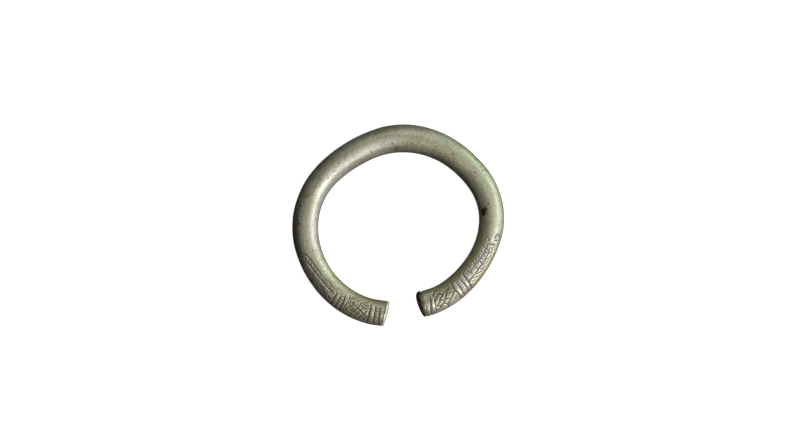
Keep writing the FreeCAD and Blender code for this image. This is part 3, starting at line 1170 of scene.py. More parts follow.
class MaterialMaker(NodeMaker):
    """Principled material whose nodes are added from Python expressions."""

    def __init__(self, name: str, metallic: float, roughness: float) -> None:
        """Starts the material.

        Args:
            name: its name.
            metallic: how metallic its surface is where nothing else says so.
            roughness: the same for its roughness.
        """
        self.material = bpy.data.materials.new(name)
        self.material.use_nodes = True
        super().__init__(self.material.node_tree)
        self.surface = self.tree.nodes["Principled BSDF"]
        self.surface.inputs["Metallic"].default_value = metallic
        self.surface.inputs["Roughness"].default_value = roughness
        self.place = self.node("ShaderNodeTexCoord", {}, {}, "Object")

    def noise(self, scale: float, detail: float, rough: float) -> Wire:
        """Noise between 0 and 1 over the surface.

        Args:
            scale: lumps for each metre.
            detail: octaves.
            rough: strength of the finer octaves.

        Returns:
            The noise value.
        """
        values = {"Vector": self.place, "Scale": scale, "Detail": detail, "Roughness": rough}
        return self.node("ShaderNodeTexNoise", {"noise_dimensions": "3D"}, values, 0)

    def attribute(self, name: str) -> Wire:
        """Value of a named attribute of the mesh."""
        return self.node("ShaderNodeAttribute", {"attribute_name": name}, {}, "Fac")

    def feed(self, socket: str, wire: Wire) -> None:
        """Links a wire to an input of the surface."""
        self.tree.links.new(wire.socket, self.surface.inputs[socket])

    def bump(self, height: Wire, distance: float, strength: float) -> None:
        """Feeds the surface's normal from a height in metres times distance."""
        values = {"Height": height, "Distance": distance, "Strength": strength}
        self.feed("Normal", self.node("ShaderNodeBump", {}, values, "Normal"))


class Tint(Enum):
    """Colours of the metal, its wear, its tarnish and its dirt, and of painted highlights and painted
    shade.
    """

    WORN = (0.64, 0.63, 0.485, 1)
    AGED_AND_PAINTED_SHADE = (0.43, 0.41, 0.275, 1)
    # Bright is laid for pale grain and wear, and as painted highlight and painted light on the bar.
    BRIGHT = (0.86, 0.86, 0.80, 1)
    POLISHED = (0.86, 0.85, 0.78, 1)
    GREENISH = (0.48, 0.55, 0.39, 1)
    OCHRE = (0.28, 0.21, 0.045, 1)
    STRAW = (0.62, 0.56, 0.22, 1)
    TAN = (0.62, 0.51, 0.26, 1)
    FAIR = (0.82, 0.84, 0.58, 1)
    CREAM = (0.88, 0.78, 0.54, 1)
    KHAKI = (0.33, 0.28, 0.16, 1)
    OLIVE = (0.27, 0.25, 0.09, 1)
    # Brown is laid as tarnish and grain, and as painted shade on the inner side of the right limb.
    BROWN = (0.19, 0.15, 0.10, 1)
    DIRT_AND_PAINTED_SHADE = (0.072, 0.050, 0.029, 1)
    SHADOW = (0.07, 0.075, 0.08, 1)


@dataclass(frozen=True)
class Skin:
    """What the tints of the tube are laid by: places on its skin and the noises that break them up.

    Along is the distance from the right end in metres, around the angle from the top in radians, and
    margin how far a place lies inside the plain margin, in millimetres. Wavy is noise around 0.
    """

    line_of: Centreline
    along: Wire
    around: Wire
    margin: Wire
    wavy: Wire
    fine: Wire


# How much the roughness of a finish varies with its fine noise
FINE_ROUGHNESS = 0.16


def mixed(first: Wire, second: Wire, factors: Point2) -> Wire:
    """Sum of two values, each times its factor."""
    return first * factors[0] + second * factors[1]


class Grain(Enum):
    """Noises over the silver: lumps for each metre, octaves, and strength of the finer octaves."""

    CLOUD = (90, 4, 0.6)
    BLOTCH = (240, 4, 0.65)
    MOTTLE = (420, 4, 0.7)
    HUE = (620, 4, 0.75)
    FINE = (700, 3, 0.6)
    SPECK = (1150, 2, 0.5)
    SAND = (1900, 3, 0.7)


@dataclass(frozen=True)
class Freckles:
    """Tint scattered by a noise, with the noise's values at which it starts and is full."""

    tint: Tint
    grain: Grain
    span: Point2
    strength: float


FRECKLES = (
    Freckles(Tint.TAN, Grain.HUE, (0.52, 0.68), 0.48),
    Freckles(Tint.GREENISH, Grain.HUE, (0.47, 0.33), 0.48),
    Freckles(Tint.BRIGHT, Grain.SAND, (0.52, 0.68), 0.45),
    Freckles(Tint.BROWN, Grain.SAND, (0.48, 0.32), 0.42),
)


@dataclass(frozen=True)
class Shift:
    """What soot, mottle and wear add to a value of the surface where they are full, and its limit."""

    soot: float
    mottle: float
    wear: float
    limit: float

    def apply(self, base: Wire | float, soot: Wire, mottle: Wire, wear: Wire) -> Wire:
        """Adds them to the value.

        Args:
            base: the value where there is none of them.
            soot: share of soot at each place.
            mottle: share of mottle.
            wear: share of wear.

        Returns:
            The value at each place.
        """
        value = base + soot * self.soot + mottle * self.mottle + wear * self.wear
        return value.least(self.limit)


Span = tuple[float | None, float | None, float | None, float | None]
OPEN: Span = (None, None, None, None)


@dataclass(frozen=True)
class Zone:
    """Zone of the skin that a tint covers.

    Four angles along the bar and four round it say where the zone starts, where it is full, up to
    where it stays full and where it stops. None leaves a side open. Along the bar they are degrees
    counterclockwise from +X, and round it radians from its top, positive outwards.
    """

    along: Span
    around: Span = OPEN
    strength: float = 1.0
    unevenness: float = 0.4

    def share(self, skin: Skin) -> Wire:
        """Strength with which the zone covers each place.

        Args:
            skin: places on the skin.

        Returns:
            A value from 0 to the zone's strength.
        """
        distances = [None if angle is None else skin.line_of.along_at(angle) for angle in self.along]
        turn = skin.around + skin.wavy * self.unevenness if self.unevenness else skin.around
        share = self.strength
        for place, (start, full, last, stop) in ((skin.along, distances), (turn, self.around)):
            if start is not None:
                share = place.fade(start, full) * share
            if stop is not None:
                share = place.fade(stop, last) * share
        return share


@dataclass(frozen=True)
class Layer:
    """One tint over one or more zones, laid on what is below it.

    Where zones meet, the stronger one counts, or their sum up to sum_limit where that is given. The
    spared zone keeps its share of the layer off. Speckle is a factor and a start for the fine noise
    that the layer shows through.
    """

    tint: Tint
    zones: tuple[Zone, ...]
    spared: Zone | None = None
    speckle: Point2 | None = None
    sum_limit: float | None = None

    def cover(self, skin: Skin) -> Wire:
        """Share of the tint at each place.

        Args:
            skin: places on the skin.

        Returns:
            A value from 0 to 1.
        """
        cover, *others = (zone.share(skin) for zone in self.zones)
        for other in others:
            cover = cover + other if self.sum_limit else cover.most(other)
        if self.sum_limit:
            cover = cover.least(self.sum_limit)
        if self.speckle:
            factor, start = self.speckle
            cover = cover * (skin.fine * factor + start).least(1.0)
        if self.spared:
            cover = cover * (1.0 - self.spared.share(skin))
        return cover


# Layers along the plain bar, mostly painted light: pale bands are painted highlights, darker bands and dark
# rims painted shade.
BACK_LAYERS: tuple[Layer, ...] = (
    # Painted highlight: paler bands where the lamps' highlight falls on the top and flanks of the bar.
    Layer(Tint.BRIGHT, (
        Zone((156, 168, 200, 212), (-0.85, -0.6, -0.42, -0.25), 0.4),
        Zone((84, 98, 152, 166), (-0.75, -0.4, 0.05, 0.25), 0.95),
        Zone((40, 52, 66, 78), (0.45, 0.65, 0.85, 1.0), 0.57),
        Zone((148, 160, 200, 212), (-0.05, 0.12, 0.5, 0.7), 0.22),
    ), speckle=(0.8, 0.5), sum_limit=0.9),
    # Painted shade: the aged colour laid as darker bands beside the highlights, which sharpens their edges.
    Layer(Tint.AGED_AND_PAINTED_SHADE, (
        Zone((156, 168, 204, 214), (-0.55, -0.36, -0.08, 0.1), 0.85),
        Zone((142, 150, 158, 168), (-0.18, 0.0, 0.12, 0.26), 0.68),
        Zone((40, 50, 66, 76), (-0.5, -0.2, 0.0, 0.2), 0.51),
        Zone((0, 10, 20, 32), (-0.4, -0.1, 0.35, 0.6), 0.5),
        Zone((-16, -6, 16, 28), (0.5, 0.65, 0.85, 1.1), 0.5),
    )),
    # Painted shade: brown along the inner side of the right limb, which faces away from the lamps.
    Layer(Tint.BROWN, (Zone((18, 32, 62, 78), (None, None, -0.85, -0.6), 0.55, 0.0),)),
    # Painted light: a paler inner rim along the upper left and left limb.
    Layer(Tint.BRIGHT, (Zone((112, 146, 206, 218), (None, None, -0.85, -0.58), 0.42, 0.0),)),
    Layer(Tint.SHADOW, (
        Zone((2, 12, 85, 98), (None, None, -1.1, -0.75), 0.42, 0.0),
        Zone((125, 145, 165, 185), (0.75, 1.0, None, None), 0.357, 0.0),
    )),
    Layer(Tint.BRIGHT, (Zone((None, None, -18, -12), (-0.5, -0.3, None, None), 0.1, 0.0),)),
)

END_LAYERS: tuple[Layer, ...] = (
    Layer(Tint.KHAKI, (
        Zone((None, None, -52, -46), (-0.75, -0.5, 0.0, 0.3), 0.75),
        Zone((230, 237, None, None), (-0.8, -0.55, -0.1, 0.3), 0.5),
        Zone((202, 210, 230, 237), (-0.5, -0.3, 0.0, 0.3), 0.45),
    )),
    Layer(Tint.TAN, (Zone((196, 206, None, None), (0.0, 0.5, None, None), 0.85, 0.8),), speckle=(1.2, 0.1)),
    Layer(Tint.CREAM, (Zone((None, None, -16, -8), (0.35, 0.75, None, None), 0.6, 0.6),)),
    Layer(Tint.BRIGHT, (Zone((-50, -45, -18, -12), (-0.6, -0.36, 0.0, 0.2), 0.8),)),
    # Painted shade: a darker band on the outer side of the right feather, which damps its glints.
    Layer(Tint.AGED_AND_PAINTED_SHADE, (Zone((-50, -45, -18, -12), (0.12, 0.25, 0.35, 0.5), 0.8),)),
    Layer(Tint.TAN, (Zone((-50, -45, -18, -12), (0.55, 0.75, None, None), 0.75, 0.3),)),
    Layer(Tint.CREAM, (Zone((196, 206, None, None), (0.3, 0.45, 0.7, 0.95), 0.45),),
          spared=Zone((206, 209, 212, 216), strength=0.5)),
    Layer(Tint.FAIR, (Zone((202, 212, 232, 242), (None, None, -0.8, -0.5), 0.6, 0.3),)),
)

LIMB_LAYERS: tuple[Layer, ...] = (
    Layer(Tint.GREENISH, (Zone((14, 30, 63.5, 64.5), (-0.35, 0.1, None, None), 0.6, 0.6),)),
    Layer(Tint.OLIVE, (Zone((None, None, 40, 75), (None, None, -0.75, -0.35), 0.25, -0.4),),
          spared=Zone((None, None, -16, -8))),
    Layer(Tint.BROWN, (Zone((160, 180, None, None), (0.44, 0.58, None, None), 0.8),),
          spared=Zone((196, 206, None, None), strength=0.775)),
)

INWARD_LAYER = Layer(Tint.FAIR, (Zone((None, None, -16, -8), (None, None, -0.8, -0.45), 0.45, 0.0),),
                     spared=Zone((-52, -46, None, None), strength=0.444))


@dataclass(frozen=True)
class Stain:
    """Stain around a pixel of the photograph: how large, in pixels, and how strong it is."""

    x: float
    y: float
    size: float
    strength: float


STAINS: dict[Tint, tuple[Stain, ...]] = {
    Tint.OCHRE: (
        Stain(391.7, 143.8, 1.5, 0.8), Stain(395, 146.3, 1.0, 0.6), Stain(406.7, 142.2, 0.7, 0.5),
        Stain(412.1, 143.8, 1.2, 0.7), Stain(417.9, 142.2, 0.7, 0.5), Stain(395.8, 148.6, 2.6, 0.7),
        Stain(406.3, 147.2, 1.0, 0.5), Stain(424.2, 145.5, 1.0, 0.6), Stain(434.6, 147.2, 1.1, 0.6),
        Stain(385.8, 145.1, 0.8, 0.5), Stain(390.8, 148.8, 0.8, 0.5), Stain(399.5, 148.2, 1.3, 0.6),
        Stain(371, 152, 1.0, 0.8), Stain(377, 150.5, 0.9, 0.5), Stain(355.6, 160.8, 0.8, 0.5),
        Stain(341.4, 170, 0.8, 0.4), Stain(337.7, 174.2, 1.0, 0.5), Stain(316, 186.7, 1.2, 0.7),
        Stain(307.3, 195.8, 1.0, 0.5), Stain(312.3, 221.7, 0.7, 0.4), Stain(452.5, 162.5, 1.2, 0.6),
        Stain(448.3, 160, 1.4, 0.5), Stain(474.2, 159.6, 1.2, 0.6), Stain(480, 184.6, 1.7, 0.8),
        Stain(474.6, 177, 0.8, 0.5), Stain(453.4, 158.6, 1.3, 0.6), Stain(460.6, 148.3, 1.0, 0.5),
        Stain(469.1, 160, 1.1, 0.4), Stain(472.2, 168.3, 1.1, 0.5), Stain(478.3, 183.3, 1.1, 0.6),
        Stain(421.9, 146.1, 1.2, 0.5), Stain(436.3, 146.8, 1.2, 0.5),
    ),
    Tint.OLIVE: (
        Stain(403.8, 143.4, 1.0, 0.6), Stain(431.3, 149.7, 1.0, 0.6), Stain(375, 133, 1.4, 0.4),
        Stain(379, 133.4, 1.2, 0.4), Stain(334.3, 171.7, 1.1, 0.5), Stain(329.3, 167.9, 1.3, 0.4),
        Stain(324.8, 172.5, 1.6, 0.4), Stain(319.8, 179.2, 2.1, 0.5), Stain(452.5, 155, 1.8, 0.8),
        Stain(450.6, 153.4, 1.4, 0.6), Stain(462.5, 167, 1.4, 0.3), Stain(481.7, 190.4, 1.0, 0.4),
        Stain(449.8, 149.6, 1.0, 0.6), Stain(497.3, 224.8, 1.3, 0.35), Stain(306.5, 196, 2.8, 0.3),
    ),
    Tint.DIRT_AND_PAINTED_SHADE: (
        Stain(420.4, 130.1, 0.8, 0.6), Stain(344.3, 160.4, 0.9, 0.6), Stain(299.3, 223.3, 1.1, 0.9),
        Stain(474.2, 172.5, 1.2, 0.7), Stain(481.7, 170.4, 1.1, 0.7), Stain(487.2, 203.4, 1.3, 0.7),
        # The first three stains of this line are painted shade: a dark blot round the vent hole that widens
        # the hole's dark.
        Stain(485.4, 206.2, 1.1, 0.6), Stain(484.4, 208.6, 2.2, 0.9), Stain(482.9, 212, 3.1, 0.95),
        Stain(328.2, 178.3, 0.9, 0.6), Stain(299.3, 234.4, 0.9, 0.7), Stain(310.2, 211.7, 0.8, 0.5),
        Stain(336, 171, 0.8, 0.5),
    ),
}


@dataclass(frozen=True)
class TarnishedSilver:
    """Low-grade silver, worn satin, with olive tarnish, dark dirt in the chased lines and fine specks, and
    painted highlights and painted shade laid in its colour as pale and dark bands along the bar.

    An edge is where a cover is 0 and where it is 1. The margin's is in millimetres inside the plain
    margin, the scorch's in metres from the right end, the stains' heights in metres above the floor,
    and their own in shares of a stain's size. A mix is the factors of two noises, and soot_gain what
    is added to the fine noise and what that is multiplied by.
    """

    roughness: float = 0.46
    metallic: float = 0.50
    roughness_shift: Shift = Shift(soot=0.3, mottle=0.12, wear=-0.1, limit=0.9)
    metallic_shift: Shift = Shift(soot=-0.6, mottle=-0.2, wear=0.1, limit=0.95)
    film: float = 0.8
    film_roughness: float = 0.36
    bump: float = 0.00007
    bump_mix: Point2 = (2.0, 1.5)
    bump_strength: float = 0.8
    waviness: float = 0.5
    worn_mix: Point2 = (0.55, 0.45)
    worn_edge: Point2 = (0.36, 0.66)
    mottle_edge: Point2 = (0.57, 0.68)
    mottle_strength: float = 0.4
    speck_edge: Point2 = (0.645, 0.705)
    speck_strength: float = 0.6
    soot_gain: Point2 = (0.75, 0.5)
    soot_edge: Point2 = (0.12, 0.8)
    soot_strength: float = 0.9
    wear_mix: Point2 = (0.6, 0.8)
    wear_edge: Point2 = (0.4, 0.75)
    wear_strength: float = 0.36
    margin_wave: float = 0.8
    margin_edge: Point2 = (-0.1, 0.35)
    margin_left: Span = (226, 238, None, None)
    margin_right: Span = (None, None, 226, 238)
    left_straw: float = 0.7
    right_straw: float = 0.6
    right_olive: float = 0.15
    scorch_edge: Point2 = (0.0013, 0.0004)
    scorch_strength: float = 0.7
    stain_mix: Point2 = (0.4, 0.6)
    stain_heights: Point2 = (0.0045, 0.0055)
    stain_edge: Point2 = (1.3, 0.55)
    stain_raggedness: float = 2.6

    def make(self, line_of: Centreline) -> bpy.types.Material:
        """Builds the material.

        Args:
            line_of: the bar's centre line, for what lies at a place along it.

        Returns:
            The material.
        """
        shade = MaterialMaker("tarnished silver", self.metallic, self.roughness)
        shade.surface.inputs["Coat Weight"].default_value = self.film
        shade.surface.inputs["Coat Roughness"].default_value = self.film_roughness
        noises = {grain: shade.noise(*grain.value) for grain in Grain}
        cloud, blotch, fine = noises[Grain.CLOUD], noises[Grain.BLOTCH], noises[Grain.FINE]
        mottle = noises[Grain.MOTTLE].fade(*self.mottle_edge)
        specks = noises[Grain.SPECK].fade(*self.speck_edge)
        skin = Skin(line_of, shade.attribute("along"), shade.attribute("around"),
                    shade.attribute("margin"), (blotch - 0.5) * self.waviness, fine)
        start, factor = self.soot_gain
        soot = (shade.attribute("cavity") * (start + fine * factor)).fade(*self.soot_edge)
        rubbed = mixed(fine, cloud, self.wear_mix).fade(*self.wear_edge)
        wear = shade.attribute("polish") * (1.0 - soot) * rubbed

        def lay(tint: Tint, cover: Wire) -> None:
            """Lays one tint over the colour so far."""
            nonlocal colour
            colour = shade.blend(cover, colour, tint.value)

        colour = Tint.AGED_AND_PAINTED_SHADE.value
        lay(Tint.WORN, mixed(cloud, fine, self.worn_mix).fade(*self.worn_edge))
        # The back layers are mostly painted highlights and painted shade.
        for layer in BACK_LAYERS + END_LAYERS + LIMB_LAYERS:
            lay(layer.tint, layer.cover(skin))
        for tint, cover in self.margin_tints(skin):
            lay(tint, cover)
        for freckles in FRECKLES:
            lay(freckles.tint, noises[freckles.grain].fade(*freckles.span) * freckles.strength)
        lay(Tint.OLIVE, mottle * self.mottle_strength)
        lay(Tint.DIRT_AND_PAINTED_SHADE, specks * self.speck_strength)
        for tint, stains in STAINS.items():
            lay(tint, self.stain_cover(shade, stains, mixed(blotch, fine, self.stain_mix)))
        lay(Tint.POLISHED, wear * self.wear_strength)
        lay(Tint.DIRT_AND_PAINTED_SHADE, soot * self.soot_strength)
        shade.feed("Base Color", colour)
        rough = self.roughness - FINE_ROUGHNESS / 2 + fine * FINE_ROUGHNESS
        shade.feed("Roughness", self.roughness_shift.apply(rough, soot, mottle, wear))
        shade.feed("Metallic", self.metallic_shift.apply(self.metallic, soot, mottle, wear))
        height = mixed(noises[Grain.SAND], fine, self.bump_mix) - specks
        shade.bump(height, self.bump, self.bump_strength)
        return shade.material

    def margin_tints(self, skin: Skin) -> list[tuple[Tint, Wire]]:
        """Tints of the plain margins below the chased fields, and of the scorched right end.

        Args:
            skin: places on the skin.

        Returns:
            Each tint with its cover, in the order in which they are laid.
        """
        plain = (skin.margin + skin.wavy * self.margin_wave).fade(*self.margin_edge)
        left = plain * Zone(self.margin_left).share(skin)
        right = plain * Zone(self.margin_right).share(skin)
        scorch = (skin.along + skin.wavy * MM).fade(*self.scorch_edge)
        return [(Tint.STRAW, left * self.left_straw), (Tint.STRAW, right * self.right_straw),
                (INWARD_LAYER.tint, INWARD_LAYER.cover(skin)),
                (Tint.OLIVE, (right * self.right_olive).most(scorch * self.scorch_strength))]

    def stain_cover(self, shade: MaterialMaker, stains: tuple[Stain, ...], ragged: Wire) -> Wire:
        """Share of the colour that stains take, on the upper half of the bar only.

        Args:
            shade: the material that is being made.
            stains: the stains of one tint.
            ragged: noise that breaks up their edges.

        Returns:
            Their cover.
        """
        flat = shade.place.vector("MULTIPLY", (1.0, 1.0, 0.0))
        upper = shade.place.parts()[2].fade(*self.stain_heights)
        start, full = self.stain_edge
        cover = 0.0
        for stain in stains:
            left, back = from_photo(stain.x, stain.y)
            uneven = (ragged - 0.5) * stain.size * self.stain_raggedness
            away = flat.vector("DISTANCE", (left, back, 0.0)) / PIXEL + uneven
            cover = (away.fade(stain.size * start, stain.size * full) * stain.strength).most(cover)
        return (cover * upper).least(1.0)


@dataclass(frozen=True)
class PlainFinish:
    """Finish of a light and a dark colour, mixed by a coarse and a fine noise.

    Grain is the coarse noise's lumps for each metre, and the fine one has finer times as many. Edge is
    where the mix is all dark and all light. The rim colour is for caps: it starts at a share of their
    radius, and the coarse noise breaks it up.
    """

    name: str
    light: Colour
    dark: Colour
    metallic: float
    roughness: float
    grain: float
    bump: float = 0.00003
    bump_strength: float = 0.7
    finer: float = 8.0
    mix: Point2 = (0.6, 0.4)
    edge: Point2 = (0.35, 0.65)
    rim: Colour | None = None
    rim_start: float = 0.9
    rim_gain: Point2 = (0.3, 0.55)

    def make(self) -> bpy.types.Material:
        """Builds the material. The rim colour, if there is one, follows the attribute of that name.

        Returns:
            The material.
        """
        shade = MaterialMaker(self.name, self.metallic, self.roughness)
        coarse = shade.noise(self.grain, detail=4, rough=0.6)
        fine = shade.noise(self.grain * self.finer, detail=3, rough=0.6)
        colour = shade.blend(mixed(coarse, fine, self.mix).fade(*self.edge), self.dark, self.light)
        if self.rim:
            start, factor = self.rim_gain
            cover = shade.attribute("rim").fade(self.rim_start, 1.0) * (start + coarse * factor)
            colour = shade.blend(cover, colour, self.rim)
        shade.feed("Base Color", colour)
        shade.feed("Roughness", self.roughness - FINE_ROUGHNESS / 2 + fine * FINE_ROUGHNESS)
        shade.bump(coarse + fine, self.bump, self.bump_strength)
        return shade.material


# Both caps are of the hoop's silver. The left one is painted pale as painted light on its face, and the
# right one is painted near black as painted shade on its face.
LEFT_CAP_PAINTED_LIGHT_METAL = PlainFinish(
    "left cap silver with painted light", (0.88, 0.87, 0.80, 1), (0.60, 0.60, 0.48, 1),
    metallic=0.25, roughness=0.4, grain=300)
RIGHT_CAP_PAINTED_SHADE_METAL = PlainFinish(
    "right cap silver with painted shade", (0.20, 0.17, 0.13, 1), (0.035, 0.03, 0.025, 1),
    metallic=0.75, roughness=0.45, grain=420, rim=(0.52, 0.47, 0.32, 1))
SEAM_METAL = PlainFinish(
    "seam solder", (0.42, 0.41, 0.34, 1), (0.16, 0.15, 0.10, 1),
    metallic=0.85, roughness=0.5, grain=700)
JOINT_METAL = PlainFinish(
    "cap solder", (0.10, 0.085, 0.06, 1), (0.03, 0.025, 0.02, 1),
    metallic=0.6, roughness=0.6, grain=900)
PALE_JOINT_METAL = PlainFinish(
    "pale cap solder", (0.30, 0.26, 0.17, 1), (0.12, 0.10, 0.06, 1),
    metallic=0.6, roughness=0.6, grain=900)
PITCH = PlainFinish(
    "pitch", (0.13, 0.11, 0.085, 1), (0.05, 0.04, 0.03, 1),
    metallic=0.0, roughness=0.55, grain=900)
FLOOR = PlainFinish(
    "pale floor", (0.90, 0.90, 0.89, 1), (0.88, 0.88, 0.87, 1),
    metallic=0.0, roughness=0.9, grain=20, bump=0.00001)


@dataclass(frozen=True)
class VentHole:
    """Oblong hole that lets the filling's vapour out. Lengths in millimetres, angles in degrees."""

    plan_angle: float = 8.4
    tilt: float = 49.0
    length: float = 3.1
    width: float = 2.5
    sides: int = 28
    depth: float = 1.9
    proud: float = 0.6

    def outline(self) -> list[Point2]:
        """Points round the hole: along the bar and sideways, in millimetres.

        Returns:
            One point for each side.
        """
        points = []
        for side in range(self.sides):
            turn = 2 * math.pi * side / self.sides
            lean = round(math.cos(turn), 6)
            run = math.copysign((self.length - self.width) / 2, lean) if lean else 0.0
            points.append((run + self.width / 2 * math.cos(turn), self.width / 2 * math.sin(turn)))
        return points

    def make(self, line_of: Centreline) -> bpy.types.Object:
        """Cutter for the hole.

        Args:
            line_of: the bar's centre line.

        Returns:
            Closed oblong bar through the wall, in its place.
        """
        middle, outward, onward, radius = line_of.frame_at(line_of.along_at(self.plan_angle))
        tilt = math.radians(self.tilt)
        through = UPWARD * math.cos(tilt) - outward * math.sin(tilt)
        sideways = np.cross(through, onward)
        points = []
        for reach in (radius + self.proud * MM, radius - self.depth * MM):
            for along, aside in self.outline():
                points.append(tuple(middle + through * reach + (onward * along + sideways * aside) * MM))
        faces = [tuple(range(self.sides)), tuple(range(2 * self.sides - 1, self.sides - 1, -1))]
        for side in range(self.sides):
            ahead = (side + 1) % self.sides
            faces.append((side, side + self.sides, ahead + self.sides, ahead))
        mesh = bpy.data.meshes.new("vent cutter")
        mesh.from_pydata(points, [], faces)
        soiled = mesh.attributes.new("cavity", "FLOAT", "POINT")
        soiled.data.foreach_set("value", np.ones(len(points), np.float32))
        return bpy.data.objects.new("vent cutter", mesh)


@dataclass(frozen=True)
class Tool:
    """How the marks of one kind are pressed. The polish beside them reaches so many millimetres."""

    press: Press
    steepness: float
    burr: float
    deposit: float
    deposit_focus: float
    polish_reach: float


@dataclass(frozen=True)
class Hoop:
    """The silver tube with its chased ends, its seam and its vent hole.

    Dents are shallow and left by the mallet: their depth in metres and lumps for each metre.
    """

    name: str = "chased_hoop"
    line_of: Centreline = Centreline()
    plate: FlatPlate = FlatPlate()
    vent: VentHole = VentHole()
    chasing: Chasing = Chasing()
    left: Terminal = Terminal(End.LEFT, joint_px=5.8, mirror_angle=77.0, border=LEFT_BORDER)
    right: Terminal = Terminal(End.RIGHT, joint_px=5.2, mirror_angle=78.0, border=RIGHT_BORDER)
    tools: tuple[Tool, ...] = (
        Tool(Press.BAND, 0.9, 0.0, 0.0, 1.0, 0.7),
        Tool(Press.BEAD, 0.9, 0.0, 0.0, 1.0, 0.4),
        Tool(Press.GROOVE, 1.6, 0.06, 1.0, 1.2, 0.8),
        Tool(Press.NOTCH, 1.6, 0.06, 0.8, 1.2, 0.3),
        Tool(Press.LINE, 2.2, 0.25, 0.95, 1.3, 0.6),
    )
    dent_depth: float = 0.0003
    dent_scale: float = 110.0
    dent_seed: float = 3.0

    def build(self) -> bpy.types.Object:
        """Makes the tube and dresses it.

        Returns:
            The finished piece.
        """
        metal = TarnishedSilver().make(self.line_of)
        terminals = {
            self.left: left_rings() + left_panel() + left_feather(),
            self.right: right_rings() + right_panel() + right_feather(),
        }
        skin = self.plate.make(self.line_of.length(), terminals)
        pressing, rolling = make_pressing_tree(), make_rolling_tree()
        for tool in self.tools:
            pressing.apply_to(skin, {
                "Marks": self.chasing.gather(tool.press, terminals, self.plate.flat_radius, self.line_of),
                "Steepness": tool.steepness, "Burr": tool.burr, "Deposit": tool.deposit,
                "Deposit Focus": tool.deposit_focus, "Polish Reach": tool.polish_reach * MM,
                "Metal": metal})
        rolling.apply_to(skin, {
            "Guide": self.line_of.make_guide(), "Cutter": self.vent.make(self.line_of),
            "Flat Radius": self.plate.flat_radius * MM, "Dent Depth": self.dent_depth,
            "Dent Scale": self.dent_scale, "Seed": self.dent_seed, "Metal": metal})
        piece = settle(skin, self.name)
        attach(piece, BODY)
        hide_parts("hoop_tube")
        log.info("%s: %d faces", self.name, len(piece.data.polygons))
        return piece


@dataclass(frozen=True)
class EndCap:
    """Domed disc over one end of the tube. Lengths in millimetres.

    The dome's top lies top_shift towards the outer side, and the lip swells the edge on the inner
    side. The lump is a slight unevenness of the dome, with so many waves round it.
    """

    name: str
    node: str
    end: End
    metal: PlainFinish
    dome_height: float
    top_shift: float
    edge_round: float
    edge_share: float = 0.9
    lip: float = 0.0
    lump: float = 0.05
    lump_waves: int = 3
    lump_turn: float = 1.3
    solder: float = 0.25
    rings: int = 26
    sides: int = 96

    def height(self, share: float, radius: float) -> float:
        """Height of the dome above the solder.

        Args:
            share: distance from its middle as a share of the radius.
            radius: the cap's radius.

        Returns:
            The height in millimetres.
        """
        dome = (radius * radius + self.dome_height ** 2) / (2 * self.dome_height)
        reach = share * radius
        height = math.sqrt(dome * dome - reach * reach) - (dome - self.dome_height)
        over = reach - (radius - self.edge_round)
        if over > 0:
            drop = self.edge_round - math.sqrt(max(self.edge_round ** 2 - over ** 2, 0))
            height -= self.edge_share * drop
        return self.edge_round + height

    def point(self, share: float, height: float, turn: float, radius: float) -> tuple[float, float, float]:
        """One point of the cap.

        Args:
            share: distance from the middle as a share of the radius.
            height: height above the solder.
            turn: angle round the cap from its outer side.
            radius: the cap's radius.

        Returns:
            Its distances outwards, upwards and away from the tube, in millimetres.
        """
        inner = max(0.0, -math.cos(turn)) ** 3
        swell = self.lip * inner * min(1.0, height / self.edge_round) * share ** 4
        reach = share * radius + swell
        lump = self.lump * math.sin(self.lump_waves * turn + self.lump_turn) * share * (1 - share)
        outwards = reach * math.cos(turn) + self.top_shift * (1 - share ** 2)
        return outwards, reach * math.sin(turn), self.solder + height + lump

    def faces(self, levels: int) -> list[tuple[int, ...]]:
        """Faces of the cap: a fan, rings of quads and the flat back.

        Args:
            levels: how many rings of points there are after the middle point.

        Returns:
            The faces.
        """
        faces: list[tuple[int, ...]] = []
        for side in range(self.sides):
            ahead = (side + 1) % self.sides
            faces.append((0, 1 + side, 1 + ahead))
            for level in range(1, levels):
                here, there = 1 + (level - 1) * self.sides, 1 + level * self.sides
                faces.append((here + side, there + side, there + ahead, here + ahead))
        faces.append(tuple(1 + (levels - 1) * self.sides + side for side in reversed(range(self.sides))))
        return faces

    def build(self, line_of: Centreline) -> bpy.types.Object:
        """Makes the cap in its place.

        Args:
            line_of: the bar's centre line.

        Returns:
            The finished piece.
        """
        along = line_of.length() if self.end is End.LEFT else 0.0
        middle, outward, onward, radius = line_of.frame_at(along)
        radius /= MM
        axes = np.array([outward, UPWARD, onward * self.end.value]) * MM
        shares = [math.sin(math.pi / 2 * ring / self.rings) for ring in range(self.rings + 1)]
        levels = [(share, self.height(share, radius)) for share in shares] + [(1.0, 0.0)]
        points, rims = [], []
        for share, height in levels:
            for side in range(self.sides if share else 1):
                turn = 2 * math.pi * side / self.sides
                points.append(tuple(middle + np.array(self.point(share, height, turn, radius)) @ axes))
                rims.append(share)
        mesh = bpy.data.meshes.new("cap shape")
        mesh.from_pydata(points, [], self.faces(len(levels) - 1))
        mesh.attributes.new("rim", "FLOAT", "POINT").data.foreach_set("value", rims)
        turn_faces_outwards(mesh)
        mesh.materials.append(self.metal.make())
        piece = settle(bpy.data.objects.new("cap shape", mesh), self.name)
        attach(piece, BODY)
        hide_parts(self.node)
        log.info("%s: %d faces", self.name, len(piece.data.polygons))
        return piece


def turn_faces_outwards(mesh: bpy.types.Mesh) -> None:
    """Turns all faces of a closed mesh outwards.

    Args:
        mesh: the mesh.
    """
    work = bmesh.new()
    work.from_mesh(mesh)
    bmesh.ops.recalc_face_normals(work, faces=work.faces)
    work.to_mesh(mesh)
    work.free()


